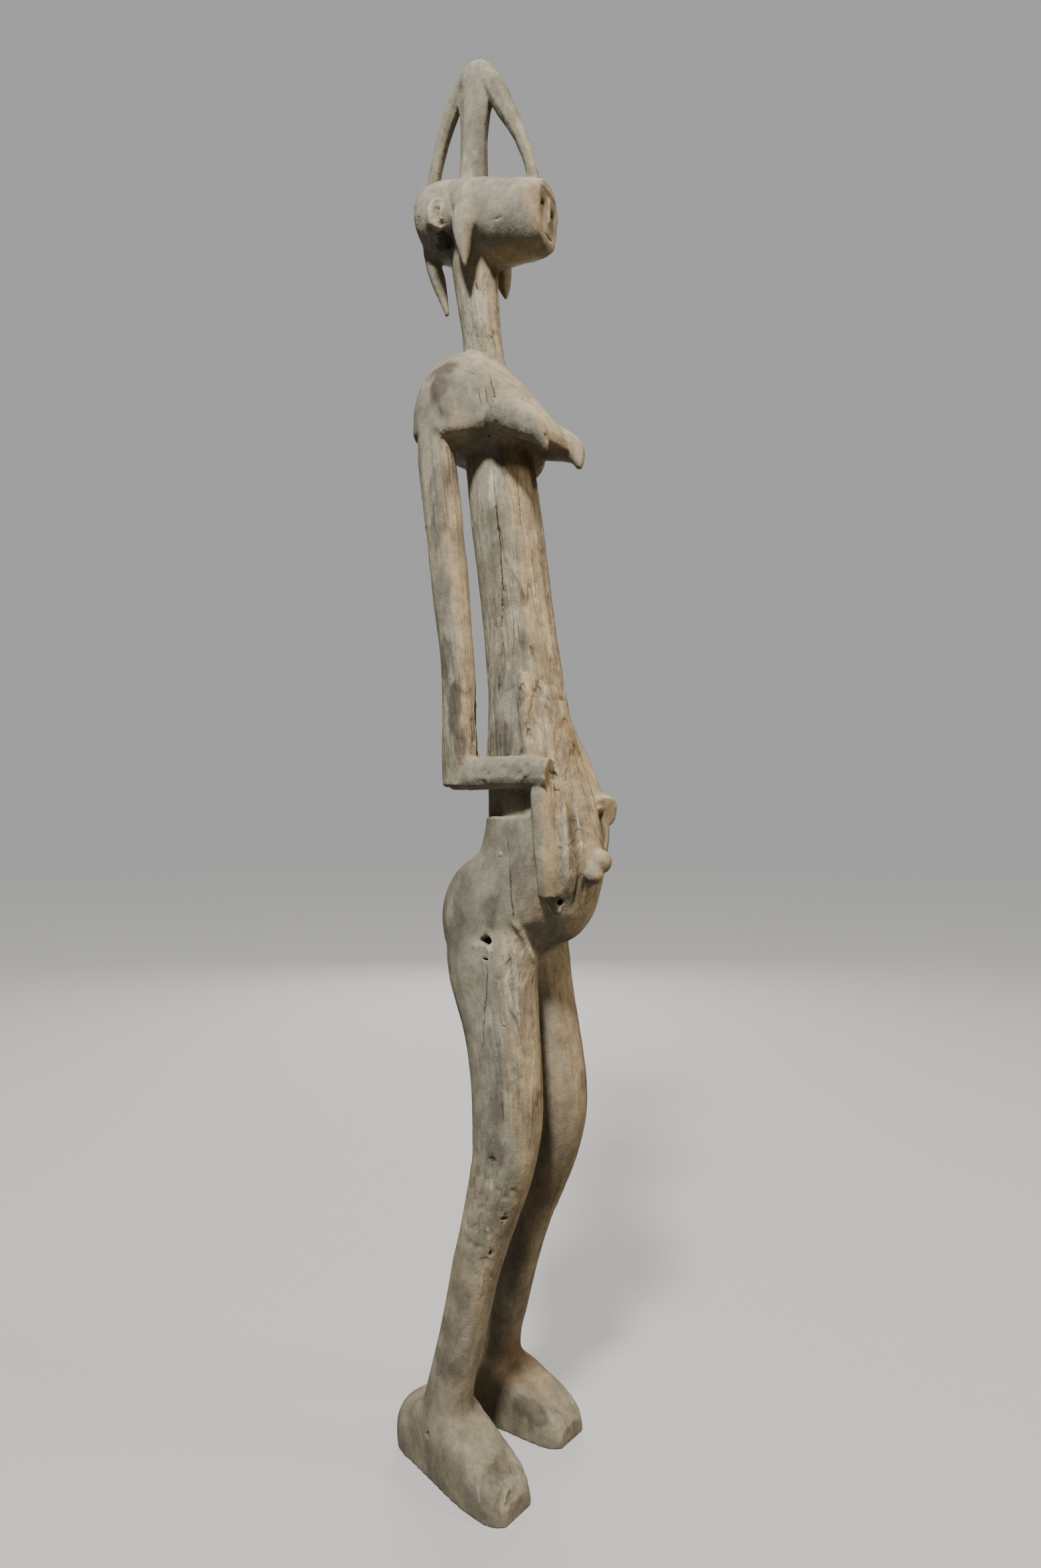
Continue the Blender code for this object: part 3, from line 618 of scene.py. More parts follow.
def tool_mark_tree():
    """Scoops and ribs over a whole skin, along the fibres, with the wood's material put on it."""
    tree = bpy.data.node_groups.new("tool_marks", "GeometryNodeTree")
    settings = tree.interface
    settings.new_socket(name="Geometry", in_out="INPUT", socket_type="NodeSocketGeometry")
    for name in ("Scoop Width", "Scoop Length", "Scoop Depth",
                 "Rib Width", "Rib Length", "Rib Depth", "Seed"):
        settings.new_socket(name=name, in_out="INPUT", socket_type="NodeSocketFloat")
    settings.new_socket(name="Wood", in_out="INPUT", socket_type="NodeSocketMaterial")
    settings.new_socket(name="Geometry", in_out="OUTPUT", socket_type="NodeSocketGeometry")
    given = tree.nodes.new("NodeGroupInput").outputs
    place = attribute_in(tree, "fibre", "FLOAT_VECTOR")
    open_grain = attribute_in(tree, "open_grain", "FLOAT")

    scoop = tree.nodes.new("ShaderNodeTexVoronoi")
    scoop.voronoi_dimensions = "4D"
    scoop.feature = "F1"
    scoop_place = stretched(tree, place, given["Scoop Width"], given["Scoop Length"])
    link_chain(tree, (scoop_place, scoop.inputs["Vector"]), (given["Seed"], scoop.inputs["W"]))
    scoop.inputs["Scale"].default_value = 1.0
    scoop_floor = maths(tree, "POWER", scoop.outputs["Distance"], SCOOP_CURVE)
    rise = maths(tree, "MULTIPLY", scoop_floor, given["Scoop Depth"])

    rib = tree.nodes.new("ShaderNodeTexNoise")
    rib.noise_dimensions = "4D"
    rib_place = stretched(tree, place, given["Rib Width"], given["Rib Length"])
    link_chain(tree, (rib_place, rib.inputs["Vector"]), (given["Seed"], rib.inputs["W"]))
    rib.inputs["Scale"].default_value = 1.0
    rib.inputs["Detail"].default_value = RIB_DETAIL
    over_valley = maths(tree, "SUBTRACT", off_level(tree, rib.outputs[0], NOISE_MIDDLE), RIB_LEVEL)
    rib_height = maths(tree, "MULTIPLY", over_valley, given["Rib Depth"])
    rib_height = maths(tree, "MULTIPLY", rib_height, open_grain)
    height = maths(tree, "ADD", rise, rib_height)
    height = maths(tree, "MULTIPLY", height, attribute_in(tree, "sole_clear", "FLOAT"))

    normal = tree.nodes.new("GeometryNodeInputNormal")
    offset = tree.nodes.new("ShaderNodeVectorMath")
    offset.operation = "SCALE"
    move = tree.nodes.new("GeometryNodeSetPosition")
    realize = tree.nodes.new("GeometryNodeRealizeInstances")
    finish = tree.nodes.new("GeometryNodeSetMaterial")
    made = tree.nodes.new("NodeGroupOutput")
    link_chain(tree, (normal.outputs[0], offset.inputs[0]), (height, offset.inputs["Scale"]),
               (given["Geometry"], move.inputs["Geometry"]), (offset.outputs[0], move.inputs["Offset"]),
               (move.outputs[0], realize.inputs[0]), (realize.outputs[0], finish.inputs["Geometry"]),
               (given["Wood"], finish.inputs["Material"]), (finish.outputs[0], made.inputs[0]))
    return tree


def keep_attribute(mesh, name, values, kind="FLOAT"):
    """Writes one value, or one vector, for each point of the mesh."""
    layer = mesh.attributes.new(name, kind, "POINT")
    layer.data.foreach_set("vector" if kind == "FLOAT_VECTOR" else "value", np.ravel(values))


# The wood's look is given to this material in the finish, below
weathered_wood = bpy.data.materials.new("weathered_wood")
put_points(skin, points)
keep_attribute(skin, "fibre", fibre, "FLOAT_VECTOR")
keep_attribute(skin, "open_grain", weathered)
keep_attribute(skin, "sole_clear", sole_clear)
carved = bpy.data.objects.new("carved_figure", skin)
bpy.context.scene.collection.objects.link(carved)
marks = carved.modifiers.new("tool_marks", "NODES")
marks.node_group = tool_mark_tree()
sizes = {"Scoop Width": SCOOP_WIDTH, "Scoop Length": SCOOP_LENGTH, "Scoop Depth": SCOOP_DEPTH,
         "Rib Width": RIB_WIDTH, "Rib Length": RIB_LENGTH, "Rib Depth": RIB_DEPTH, "Seed": MARK_SEED,
         "Wood": weathered_wood}
for item in marks.node_group.interface.items_tree:
    if item.in_out == "INPUT" and item.name in sizes:
        marks[item.identifier] = sizes[item.name]
marked = finished_mesh(carved)
carved.modifiers.clear()
carved.data = marked
points = points_of(marked)
outward = directions_of(marked, points)


# The drying cracks: the log split as it dried, along its fibres, in one long split down the trunk's flank and
# in shorter ones at the chest, hip, thigh and knee. Each is opened as a thin V along its own jagged line.
# How far to each side of its line a crack can reach
CRACK_REACH = 0.003
# A crack has this share of its width at its ends, and opens and sinks towards its middle by a steep curve
END_WIDTH = 0.4
CRACK_STEEPNESS = 5
CRACK_CURVE = 0.6
# The V's sides: the splintered lip beside it, and how hollow they are
LIP_WIDTH = 0.0002
V_CURVE = 0.8
# Points within this distance of the line, in whole and in part, move this share of the way on to it
PULL_WIDTH = 0.0003
PULL_REACH = 1.6
PULL_SHARE = 0.8
LEAST_TAPER = 0.02


def split_wood(line, half_width, depth):
    """Opens one V-shaped crack: the nearest points go to its line, and all within its width sink."""
    near = close_to(points, line, CRACK_REACH)
    gap, way, along = nearest_on(points[near], outward[near], line)
    taper = np.clip(CRACK_STEEPNESS * along * (1 - along), 0, 1) ** CRACK_CURVE
    width = half_width * (END_WIDTH + (1 - END_WIDTH) * taper)
    sink = np.clip(1 - gap / (width + LIP_WIDTH), 0, 1) ** V_CURVE * taper
    pull = np.clip(PULL_REACH - gap / PULL_WIDTH, 0, 1) * PULL_SHARE * (taper > LEAST_TAPER)
    points[near] += way * pull[:, None] - outward[near] * (sink * depth)[:, None]
    # The floor of the crack is painted dark: grime and painted shade
    cut[near] = np.maximum(cut[near], sink)


for half_width, depth, line in splits:
    split_wood(line, half_width, depth)


# The knot, the holes and the chips: a knot has dropped out of the right hip and left a hole with splinters
# under it, and insects, rot and knocks have left smaller ones. Each is sunk straight in with a ragged lip.

# Place, half width, half height, depth (minus stands proud), how dark its bottom is, how pale its broken wood
HOLES = [
    ((-0.0625, -0.0219, 0.5219), 0.0062, 0.0056, 0.0140, 1.0, 0.0),
    ((-0.0619, -0.0275, 0.5150), 0.0044, 0.0066, -0.0015, 0.0, 0.5),
    ((-0.0642, -0.0120, 0.5165), 0.0066, 0.0040, -0.0010, 0.0, 0.4),
    ((-0.0640, -0.0233, 0.5042), 0.0034, 0.0014, 0.0030, 0.9, 0.0),
    ((0.0094, -0.0246, 0.9986), 0.0022, 0.0090, 0.0060, 1.0, 0.0),
    ((0.0130, -0.0250, 0.9960), 0.0025, 0.0080, -0.0016, 0.0, 0.5),
    ((-0.0315, -0.0899, 0.5594), 0.0030, 0.0034, 0.0080, 1.0, 0.0),
    ((-0.0310, -0.0863, 0.5517), 0.0056, 0.0036, -0.0014, 0.0, 0.5),
    ((-0.0760, 0.0405, 0.0402), 0.0020, 0.0020, 0.0040, 0.9, 0.0),
    ((-0.0742, -0.0356, 0.0319), 0.0055, 0.0045, 0.0018, 0.2, 0.0),
    ((-0.0551, -0.0368, 0.0328), 0.0070, 0.0060, 0.0018, 0.3, 0.0),
    ((-0.0643, -0.0570, 0.0189), 0.0070, 0.0070, 0.0020, 0.1, 0.0),
    ((-0.0240, -0.0020, 1.2787), 0.0070, 0.0016, 0.0010, 0.1, 0.5),
    ((-0.0340, 0.0690, 1.2800), 0.0110, 0.0110, 0.0060, 0.5, 0.0),
    ((-0.0575, -0.0380, 0.6056), 0.0030, 0.0024, -0.0018, 0.0, 1.0),
    ((-0.0542, -0.0031, 0.7032), 0.0040, 0.0030, -0.0020, 0.0, 1.0),
    ((-0.0465, -0.0250, 1.0325), 0.0050, 0.0030, 0.0018, 0.3, 0.2),
    ((-0.0402, -0.0057, 1.0356), 0.0018, 0.0030, 0.0025, 0.8, 0.0),
    ((-0.0642, -0.0318, 0.2937), 0.0022, 0.0130, -0.0012, 0.0, 0.8),
    ((-0.0613, -0.0251, 0.2417), 0.0028, 0.0110, -0.0012, 0.0, 0.8),
    ((-0.0575, -0.0132, 0.1909), 0.0022, 0.0110, -0.0010, 0.0, 0.7),
    ((-0.0545, -0.0392, 0.2594), 0.0040, 0.0020, 0.0014, 0.5, 0.0),
    ((-0.0564, -0.0241, 0.2230), 0.0020, 0.0040, 0.0016, 0.6, 0.0),
    ((-0.0648, -0.0340, 0.3166), 0.0060, 0.0026, 0.0014, 0.5, 0.0),
]
# A hole's ragged lip: how ragged, the cell and seed of its waves, and at which shares of its size it slopes
LIP_RAGGEDNESS = 0.35
LIP_CELL = (0.004, 0.004, 0.004)
LIP_SEED = 31
HOLE_EDGES = (0.45, 1.0)
# Only wood that faces the same way is cut, not a limb's far side, within so many times the larger half size
FACING_EDGES = (0.0, 0.4)
HOLE_REACH = 3

for middle, half_width, half_height, depth, dark, broken in HOLES:
    distance = np.linalg.norm(points - np.array(middle), axis=1)
    near = np.where(distance < HOLE_REACH * max(half_width, half_height))[0]
    way_out = outward[near[distance[near].argmin()]]
    offset = points[near] - np.array(middle)
    offset -= way_out * (offset @ way_out)[:, None]
    upright = np.array([0, 0, 1]) - way_out * way_out[2]
    upright /= np.linalg.norm(upright)
    high = offset @ upright / half_height
    wide = offset @ np.cross(way_out, upright) / half_width
    reach = np.hypot(wide, high) + LIP_RAGGEDNESS * ripple(points[near], LIP_CELL, LIP_SEED)
    facing = soft_step(outward[near] @ way_out, *FACING_EDGES)
    sink = (1 - soft_step(reach, *HOLE_EDGES)) * facing
    points[near] -= way_out * (sink * depth)[:, None]
    # The floor of the hole is painted dark: grime and painted shade
    cut[near] = np.maximum(cut[near], sink * dark)
    pale[near] = np.maximum(pale[near], sink * broken)


# The colours of the wood: silver grey where it was handled and rained on, warm tan down the front, partly
# where the grey layer has flaked off and partly painted warm light, with brown grime and painted shade in the
# grooves and hollows, and grey-brown stains. Each is a value per point.

# How warm the front of the wood is at each height, from the soles to the crest, and which way the front
# faces.
# The front is turned towards the warm lamp: its tan is partly bared wood and partly painted warm light
WARM_HEIGHTS = (0.00, 0.05, 0.09, 0.25, 0.40, 0.50, 0.60, 0.70,
                0.90, 1.02, 1.06, 1.12, 1.16, 1.23, 1.26, 1.50)
WARM_FRONT = (0.15, 0.20, 0.50, 0.75, 1.00, 0.75, 1.00, 1.00,
              1.00, 0.90, 0.55, 0.50, 0.65, 0.60, 0.35, 0.30)
FRONT_WAY = (0.48, -0.88, 0.0)
# How far the wood has to turn that way to be warm, and how far that wanders
WARM_EDGES = (-0.15, 0.75)
WARM_DRIFT = 0.32
DRIFT_WAVES = ((0.020, 0.020, 0.070), (0.008, 0.008, 0.030), 0.6, (45, 46))
# Small blotches of stain everywhere, and more where the wood is weathered
BLOTCH_WAVES = ((0.013, 0.013, 0.045), (0.006, 0.006, 0.018), 0.6, (47, 48))
BLOTCH_EDGES = (0.62, 1.0)
BLOTCH_DARKNESS = 0.15
WEATHERED_BLOTCHES = 0.40
# Coloured places, each with its middle, half sizes and strength. First the warm tan ones
WARM_PLACES = [
    ((0.000, 0.000, 0.020), (0.120, 0.140, 0.110), 0.30),
    ((-0.060, 0.000, 0.200), (0.035, 0.060, 0.130), 0.28),
    ((0.045, -0.020, 0.330), (0.040, 0.060, 0.230), 0.85),
    ((0.055, 0.035, 0.060), (0.035, 0.050, 0.030), 0.90),
    ((0.016, -0.045, 1.290), (0.040, 0.020, 0.045), 0.80),
    ((-0.010, 0.010, 1.245), (0.050, 0.070, 0.016), 0.75),
    ((0.010, -0.050, 1.060), (0.050, 0.060, 0.050), 0.55),
    ((-0.060, -0.005, 0.860), (0.016, 0.020, 0.140), 0.75),
    ((-0.066, 0.020, 1.000), (0.012, 0.020, 0.060), 0.60),
]
# Grey-brown stains: the shoulder, down the arm and elbow, the trunk, hip, knees, shin, feet, crest and back
STAINED_PLACES = [
    ((-0.0679, 0.0328, 1.1088), (0.016, 0.018, 0.010), 0.80),
    ((-0.0790, 0.0330, 1.0862), (0.014, 0.012, 0.018), 0.70),
    ((-0.0789, 0.0276, 0.9826), (0.010, 0.012, 0.024), 0.60),
    ((-0.0805, 0.0247, 0.9429), (0.010, 0.012, 0.032), 0.60),
    ((-0.0790, 0.0220, 0.8700), (0.008, 0.012, 0.030), 0.45),
    ((-0.0800, 0.0040, 0.7480), (0.010, 0.008, 0.026), 0.90),
    ((-0.0788, -0.0010, 0.7180), (0.010, 0.006, 0.022), 0.80),
    ((-0.0840, 0.0180, 0.7950), (0.008, 0.008, 0.024), 0.55),
    ((-0.0380, -0.0120, 0.9300), (0.008, 0.010, 0.050), 0.35),
    ((-0.0419, -0.0241, 0.7150), (0.024, 0.022, 0.024), 0.55),
    ((-0.0400, -0.0200, 0.7900), (0.010, 0.012, 0.024), 0.55),
    ((-0.0440, -0.0480, 0.7600), (0.010, 0.010, 0.014), 0.55),
    ((-0.0420, -0.0330, 0.8350), (0.008, 0.010, 0.020), 0.45),
    ((-0.0625, -0.0254, 0.5535), (0.014, 0.014, 0.018), 0.55),
    ((-0.0570, -0.0640, 0.5850), (0.018, 0.014, 0.030), 0.45),
    ((-0.0560, -0.0480, 0.6200), (0.020, 0.016, 0.016), 0.35),
    ((-0.0286, -0.0930, 0.5620), (0.014, 0.014, 0.008), 0.55),
    ((-0.0651, -0.0359, 0.3258), (0.014, 0.016, 0.016), 0.60),
    ((-0.0640, -0.0380, 0.3700), (0.012, 0.010, 0.020), 0.45),
    ((-0.0630, -0.0300, 0.4200), (0.012, 0.012, 0.020), 0.30),
    ((-0.0670, 0.0095, 0.1772), (0.014, 0.014, 0.014), 0.50),
    ((-0.0680, 0.0173, 0.1436), (0.014, 0.016, 0.014), 0.55),
    ((-0.0690, 0.0262, 0.1100), (0.016, 0.018, 0.014), 0.50),
    ((0.0270, -0.0030, 0.0300), (0.012, 0.026, 0.010), 0.75),
    ((-0.0820, 0.0019, 0.0346), (0.016, 0.018, 0.012), 0.35),
    ((-0.0770, 0.0365, 0.0257), (0.014, 0.016, 0.010), 0.35),
    ((-0.0551, -0.0368, 0.0328), (0.014, 0.012, 0.010), 0.55),
    ((-0.0028, 0.0379, 1.3704), (0.016, 0.018, 0.020), 0.40),
    ((-0.0400, 0.0480, 1.3100), (0.014, 0.010, 0.020), 0.30),
    ((0.0000, 0.0600, 0.8800), (0.050, 0.040, 0.060), 0.40),
    ((0.0500, 0.0400, 0.5600), (0.040, 0.030, 0.040), 0.40),
]
# Painted shade in the hollows under the ear and beside the far hand, where the head and the belly band shade
# them
PAINTED_SHADE_PLACES = [
    ((-0.0324, 0.0705, 1.2810), (0.012, 0.015, 0.013), 0.55),
    ((-0.0400, 0.0560, 1.2790), (0.008, 0.010, 0.008), 0.50),
    ((0.0380, -0.0900, 0.6250), (0.006, 0.008, 0.018), 0.40),
]
# Fresher orange wood, on the belly, the hand, the far ankle, the chest and the far spike
ORANGE_PLACES = [
    ((-0.0116, -0.0801, 0.7161), (0.014, 0.016, 0.034), 0.58),
    ((-0.0150, -0.0880, 0.6500), (0.018, 0.024, 0.050), 0.32),
    ((-0.0060, -0.0700, 0.7450), (0.010, 0.012, 0.024), 0.25),
    ((-0.0215, -0.0980, 0.6050), (0.010, 0.012, 0.050), 0.40),
    ((0.0474, 0.0341, 0.0640), (0.022, 0.024, 0.014), 0.45),
    ((0.0087, -0.0215, 1.0165), (0.014, 0.014, 0.012), 0.45),
    ((0.0380, 0.0480, 1.2500), (0.014, 0.020, 0.020), 0.60),
]
# Places painted darker all over: the hips, the feet, the shoulder, the crest and the face, and painted shade
# between the legs, on the far leg's inner side
DUSK_PLACES = [
    ((-0.055, 0.050, 0.560), (0.050, 0.065, 0.090), 0.30),
    ((-0.050, 0.005, 0.620), (0.040, 0.055, 0.050), 0.12),
    ((-0.060, 0.020, 0.030), (0.060, 0.110, 0.060), 0.26),
    ((0.050, 0.020, 0.030), (0.045, 0.110, 0.060), 0.28),
    ((-0.060, 0.020, 1.080), (0.050, 0.060, 0.060), 0.20),
    ((0.000, 0.010, 1.400), (0.040, 0.050, 0.090), 0.20),
    # Painted shade on the far leg's inner side, where the near leg shades it
    ((0.022, -0.010, 0.300), (0.020, 0.060, 0.240), 0.35),
    ((0.000, -0.045, 1.290), (0.040, 0.020, 0.040), 0.18),
]
# Rubbed pale: the heel, the trunk's side, the neck and the thigh; on the back edge of the hip, a painted
# highlight
PALE_AND_HIGHLIGHT_PLACES = [
    # The hip's back edge: a painted highlight
    ((-0.0578, 0.0325, 0.5458), (0.010, 0.008, 0.018), 0.45),
    ((-0.0698, 0.0795, 0.0352), (0.012, 0.012, 0.010), 0.35),
    ((-0.0335, -0.0040, 0.9850), (0.006, 0.005, 0.030), 0.50),
    ((-0.0153, 0.0298, 1.1981), (0.004, 0.004, 0.020), 0.50),
    ((-0.0500, -0.0540, 0.5150), (0.010, 0.010, 0.014), 0.45),
]
# The ragged edges of the coloured places: the cells of their waves, the share of the narrow ones, how far the
# edges wander, and between which shares of a place's size its colour fades
RAGGED_WAVES = ((0.009, 0.009, 0.030), (0.004, 0.004, 0.012), 0.6)
RAGGEDNESS = 0.40
PATCH_EDGES = (0.78, 1.08)


def patches(places, seed):
    """How far each point lies in any of these places, with edges ragged along the fibres."""
    ragged = two_ripples(fibre, *RAGGED_WAVES, (seed, seed + 1))
    most = np.zeros(len(points))
    for middle, half_sizes, amount in places:
        reach = egg_reach(points, middle, half_sizes) + RAGGEDNESS * ragged
        most = np.maximum(most, amount * (1 - soft_step(reach, *PATCH_EDGES)))
    return most


# Warm tan on the side that faces the warm lamp: partly bared wood, partly painted warm light
front = outward @ np.array(FRONT_WAY) + WARM_DRIFT * two_ripples(fibre, *DRIFT_WAVES)
warm = soft_step(front, *WARM_EDGES) * np.interp(points[:, 2], WARM_HEIGHTS, WARM_FRONT)
blotches = soft_step(two_ripples(fibre, *BLOTCH_WAVES), *BLOTCH_EDGES)
stain = blotches * (BLOTCH_DARKNESS + WEATHERED_BLOTCHES * weathered)
colours = {
    "warm": np.maximum(warm, patches(WARM_PLACES, seed=41)),
    "stain": np.maximum(patches(STAINED_PLACES, seed=51), stain),
    "orange": patches(ORANGE_PLACES, seed=61),
    "pale": np.maximum(pale, patches(PALE_AND_HIGHLIGHT_PLACES, seed=65)),
    "grime_and_painted_shade": np.maximum(cut, patches(PAINTED_SHADE_PLACES, seed=71)),
    "flake": flake,
    "splinter": splinter,
    "dusk": strongest(points, DUSK_PLACES),
}
marked.attributes.remove(marked.attributes["sole_clear"])
for name, values in colours.items():
    keep_attribute(marked, name, values)
put_points(marked, points)


# Thinning: the skin has more points than it needs where the wood is plain, so those are taken out again.
# What is left follows the cracks and flakes closely and the smooth stretches loosely, as one closed body.
MOST_TRIANGLES = 194000

thin = carved.modifiers.new("thin", "DECIMATE")
thin.ratio = MOST_TRIANGLES / sum(len(face.vertices) - 2 for face in marked.polygons)
thin.use_collapse_triangulate = True
thinned = finished_mesh(carved)
carved.modifiers.clear()
carved.data = thinned
thinned.name = "carved_figure"
thinned.shade_smooth()
thinned.materials.clear()
thinned.materials.append(weathered_wood)


# The finish: bare dry wood with no oil or paint on it, dead matt, paler on its worn edges, there partly as
# painted highlight, and brown in its splits, as grime and painted shade. Fibres, hair cracks and pits too
# small for the skin are drawn in colour and as a shallow bump.
GREY_WOOD = (0.300, 0.278, 0.215, 1.0)
TAN_WOOD = (0.430, 0.330, 0.205, 1.0)
ORANGE_WOOD = (0.260, 0.165, 0.080, 1.0)
STAIN_BROWN = (0.120, 0.103, 0.082, 1.0)
GRIME_AND_SHADE_BROWN = (0.018, 0.012, 0.008, 1.0)
PALE_WOOD = (0.560, 0.490, 0.370, 1.0)
WOOD_ROUGHNESS = 0.90
WOOD_SHEEN = 0.18
# Patterns along the fibres, then over the whole: marks to the metre each way, detail and roughness of noise
STREAKS = ((170.0, 170.0, 10.0), 5.0, 0.62)
FINE_FIBRES = ((750.0, 750.0, 32.0), 3.0, 0.60)
HAIR_CRACKS = ((150.0, 150.0, 8.0), 1.0, 0.5)
CLOUDS = ((34.0, 34.0, 26.0), 5.0, 0.60)
MOTTLES = ((120.0, 120.0, 90.0), 4.0, 0.62)
SPECKS = ((520.0, 520.0, 420.0), 3.0, 0.65)
# Where a pattern begins and ends, then how light the wood or how strong the mark is at each
CLOUD_TONES = (0.34, 0.66, 0.77, 1.14)
MOTTLE_TONES = (0.32, 0.68, 0.86, 1.10)
SPECK_TONES = (0.52, 0.72, 1.03, 0.82)
STREAK_TONES = (0.34, 0.66, -0.22, 0.16)
FIBRE_TONES = (0.30, 0.70, -0.16, 0.10)
GRAIN_SHOWN = (0.05, 0.60, 0.18, 1.0)
GRIME_AND_SHADE_SHOWN = (0.10, 0.80, 0.0, 0.95)
# The same for the painted shade along the rims of flakes and for the hair cracks, with the streaks and the
# grain that they show in
RIM_WIDTH = (0.0, 0.06, 1.0, 0.0)
RIM_STREAKS = (0.44, 0.56)
HAIR_WIDTH = (0.0, 0.010, 1.0, 0.0)
HAIR_STREAKS = (0.50, 0.60)
HAIR_GRAIN = (0.15, 0.60)
# How tan the bared wood under a flake is, and how much darker each of these marks is
FLAKE_TAN = 0.35
RIM_SHADE_DARKER = -0.20
SPLINTER_DARKER = -0.16
HAIR_DARKER = -0.42
# How high each pattern stands in the bump, in metres
RELIEF = {"speckle": -0.0004, "mottle": 0.0008, "fine": 0.0007, "streak": 0.0014, "flake": -0.0009,
          "splinter": -0.0006, "hair": -0.0009}


def blend(tree, share, base, top):
    """A colour between two, each a plain colour or another node's."""
    node = tree.nodes.new("ShaderNodeMix")
    node.data_type = "RGBA"
    colours_in = [socket for socket in node.inputs if socket.type == "RGBA"]
    for socket, given in ((node.inputs[0], share), (colours_in[0], base), (colours_in[1], top)):
        if isinstance(given, tuple):
            socket.default_value = given
        else:
            tree.links.new(given, socket)
    return [socket for socket in node.outputs if socket.type == "RGBA"][0]


def wood_finish(material):
    material.use_nodes = True
    tree = material.node_tree
    nodes = tree.nodes
    shader = nodes["Principled BSDF"]
    shader.inputs["Roughness"].default_value = WOOD_ROUGHNESS
    shader.inputs["Specular IOR Level"].default_value = WOOD_SHEEN
    shader.inputs["Metallic"].default_value = 0.0

    def value_of(name):
        node = nodes.new("ShaderNodeAttribute")
        node.attribute_name = name
        return node.outputs["Fac"]

    def pattern(coordinates, scale, detail, roughness):
        spread = nodes.new("ShaderNodeMapping")
        spread.inputs["Scale"].default_value = scale
        noise = nodes.new("ShaderNodeTexNoise")
        noise.inputs["Scale"].default_value = 1.0
        noise.inputs["Detail"].default_value = detail
        noise.inputs["Roughness"].default_value = roughness
        link_chain(tree, (coordinates, spread.inputs["Vector"]), (spread.outputs[0], noise.inputs["Vector"]))
        return noise.outputs["Fac"]

    def between(value, low, high, to_low=0.0, to_high=1.0):
        node = nodes.new("ShaderNodeMapRange")
        node.interpolation_type = "SMOOTHSTEP"
        node.inputs["From Min"].default_value = low
        node.inputs["From Max"].default_value = high
        node.inputs["To Min"].default_value = to_low
        node.inputs["To Max"].default_value = to_high
        tree.links.new(value, node.inputs["Value"])
        return node.outputs["Result"]

    def times(first, second):
        return maths(tree, "MULTIPLY", first, second)

    def plus(first, second):
        return maths(tree, "ADD", first, second)

    def shade(tone, share, amount):
        """The tone made lighter or darker by an amount, where the share is full."""
        return times(tone, plus(times(share, amount), 1.0))

    along_grain = nodes.new("ShaderNodeAttribute")
    along_grain.attribute_name = "fibre"
    grain = along_grain.outputs["Vector"]
    object_place = nodes.new("ShaderNodeTexCoord").outputs["Object"]
    open_grain = value_of("open_grain")
    shown_grain = between(open_grain, *GRAIN_SHOWN)
    streak = pattern(grain, *STREAKS)
    fine = pattern(grain, *FINE_FIBRES)
    cloud = pattern(object_place, *CLOUDS)
    mottle = pattern(object_place, *MOTTLES)
    speckle = pattern(object_place, *SPECKS)

    flake_step = times(between(value_of("flake"), *FLAKE_EDGES), open_grain)
    splinter_step = times(between(value_of("splinter"), *SPLINTER_EDGES), open_grain)
    # The rim of each flake, where a thin line of painted shade is drawn
    flake_rim_shade = between(off_level(tree, value_of("flake"), FLAKE_EDGES[0]), *RIM_WIDTH)
    flake_rim_shade = times(times(flake_rim_shade, open_grain), between(streak, *RIM_STREAKS))
    hair = between(off_level(tree, pattern(grain, *HAIR_CRACKS), NOISE_MIDDLE), *HAIR_WIDTH)
    hair = times(times(hair, between(streak, *HAIR_STREAKS)), between(open_grain, *HAIR_GRAIN))

    colour = blend(tree, value_of("warm"), GREY_WOOD, TAN_WOOD)
    colour = blend(tree, times(flake_step, FLAKE_TAN), colour, TAN_WOOD)
    for name, layer in (("orange", ORANGE_WOOD), ("stain", STAIN_BROWN), ("pale", PALE_WOOD)):
        colour = blend(tree, value_of(name), colour, layer)
    tone = between(cloud, *CLOUD_TONES)
    tone = times(tone, between(mottle, *MOTTLE_TONES))
    tone = times(tone, between(speckle, *SPECK_TONES))
    tone = shade(tone, between(streak, *STREAK_TONES), shown_grain)
    tone = shade(tone, between(fine, *FIBRE_TONES), shown_grain)
    # A dark line of painted shade along each flake's rim, where its step is
    tone = shade(tone, flake_rim_shade, RIM_SHADE_DARKER)
    # Darker in the places listed above, and painted shade between the legs
    tone = shade(tone, value_of("dusk"), -1.0)
    tone = shade(tone, splinter_step, SPLINTER_DARKER)
    tone = shade(tone, hair, HAIR_DARKER)
    toned = nodes.new("ShaderNodeVectorMath")
    toned.operation = "SCALE"
    link_chain(tree, (colour, toned.inputs[0]), (tone, toned.inputs["Scale"]))
    # Brown over the floors of grooves, cracks and holes and in the shaded hollows: grime and painted shade
    colour = blend(tree, between(value_of("grime_and_painted_shade"), *GRIME_AND_SHADE_SHOWN), toned.outputs[0], GRIME_AND_SHADE_BROWN)
    tree.links.new(colour, shader.inputs["Base Color"])

    standing = {"speckle": speckle, "mottle": mottle, "fine": times(fine, shown_grain),
                "streak": times(streak, shown_grain), "flake": flake_step, "splinter": splinter_step,
                "hair": hair}
    height = 0.0
    for name, amount in RELIEF.items():
        height = plus(times(standing[name], amount), height)
    bump = nodes.new("ShaderNodeBump")
    bump.inputs["Strength"].default_value = 1.0
    bump.inputs["Distance"].default_value = 1.0
    link_chain(tree, (height, bump.inputs["Height"]), (bump.outputs["Normal"], shader.inputs["Normal"]))


wood_finish(weathered_wood)
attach(carved, "root")
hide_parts("figure")


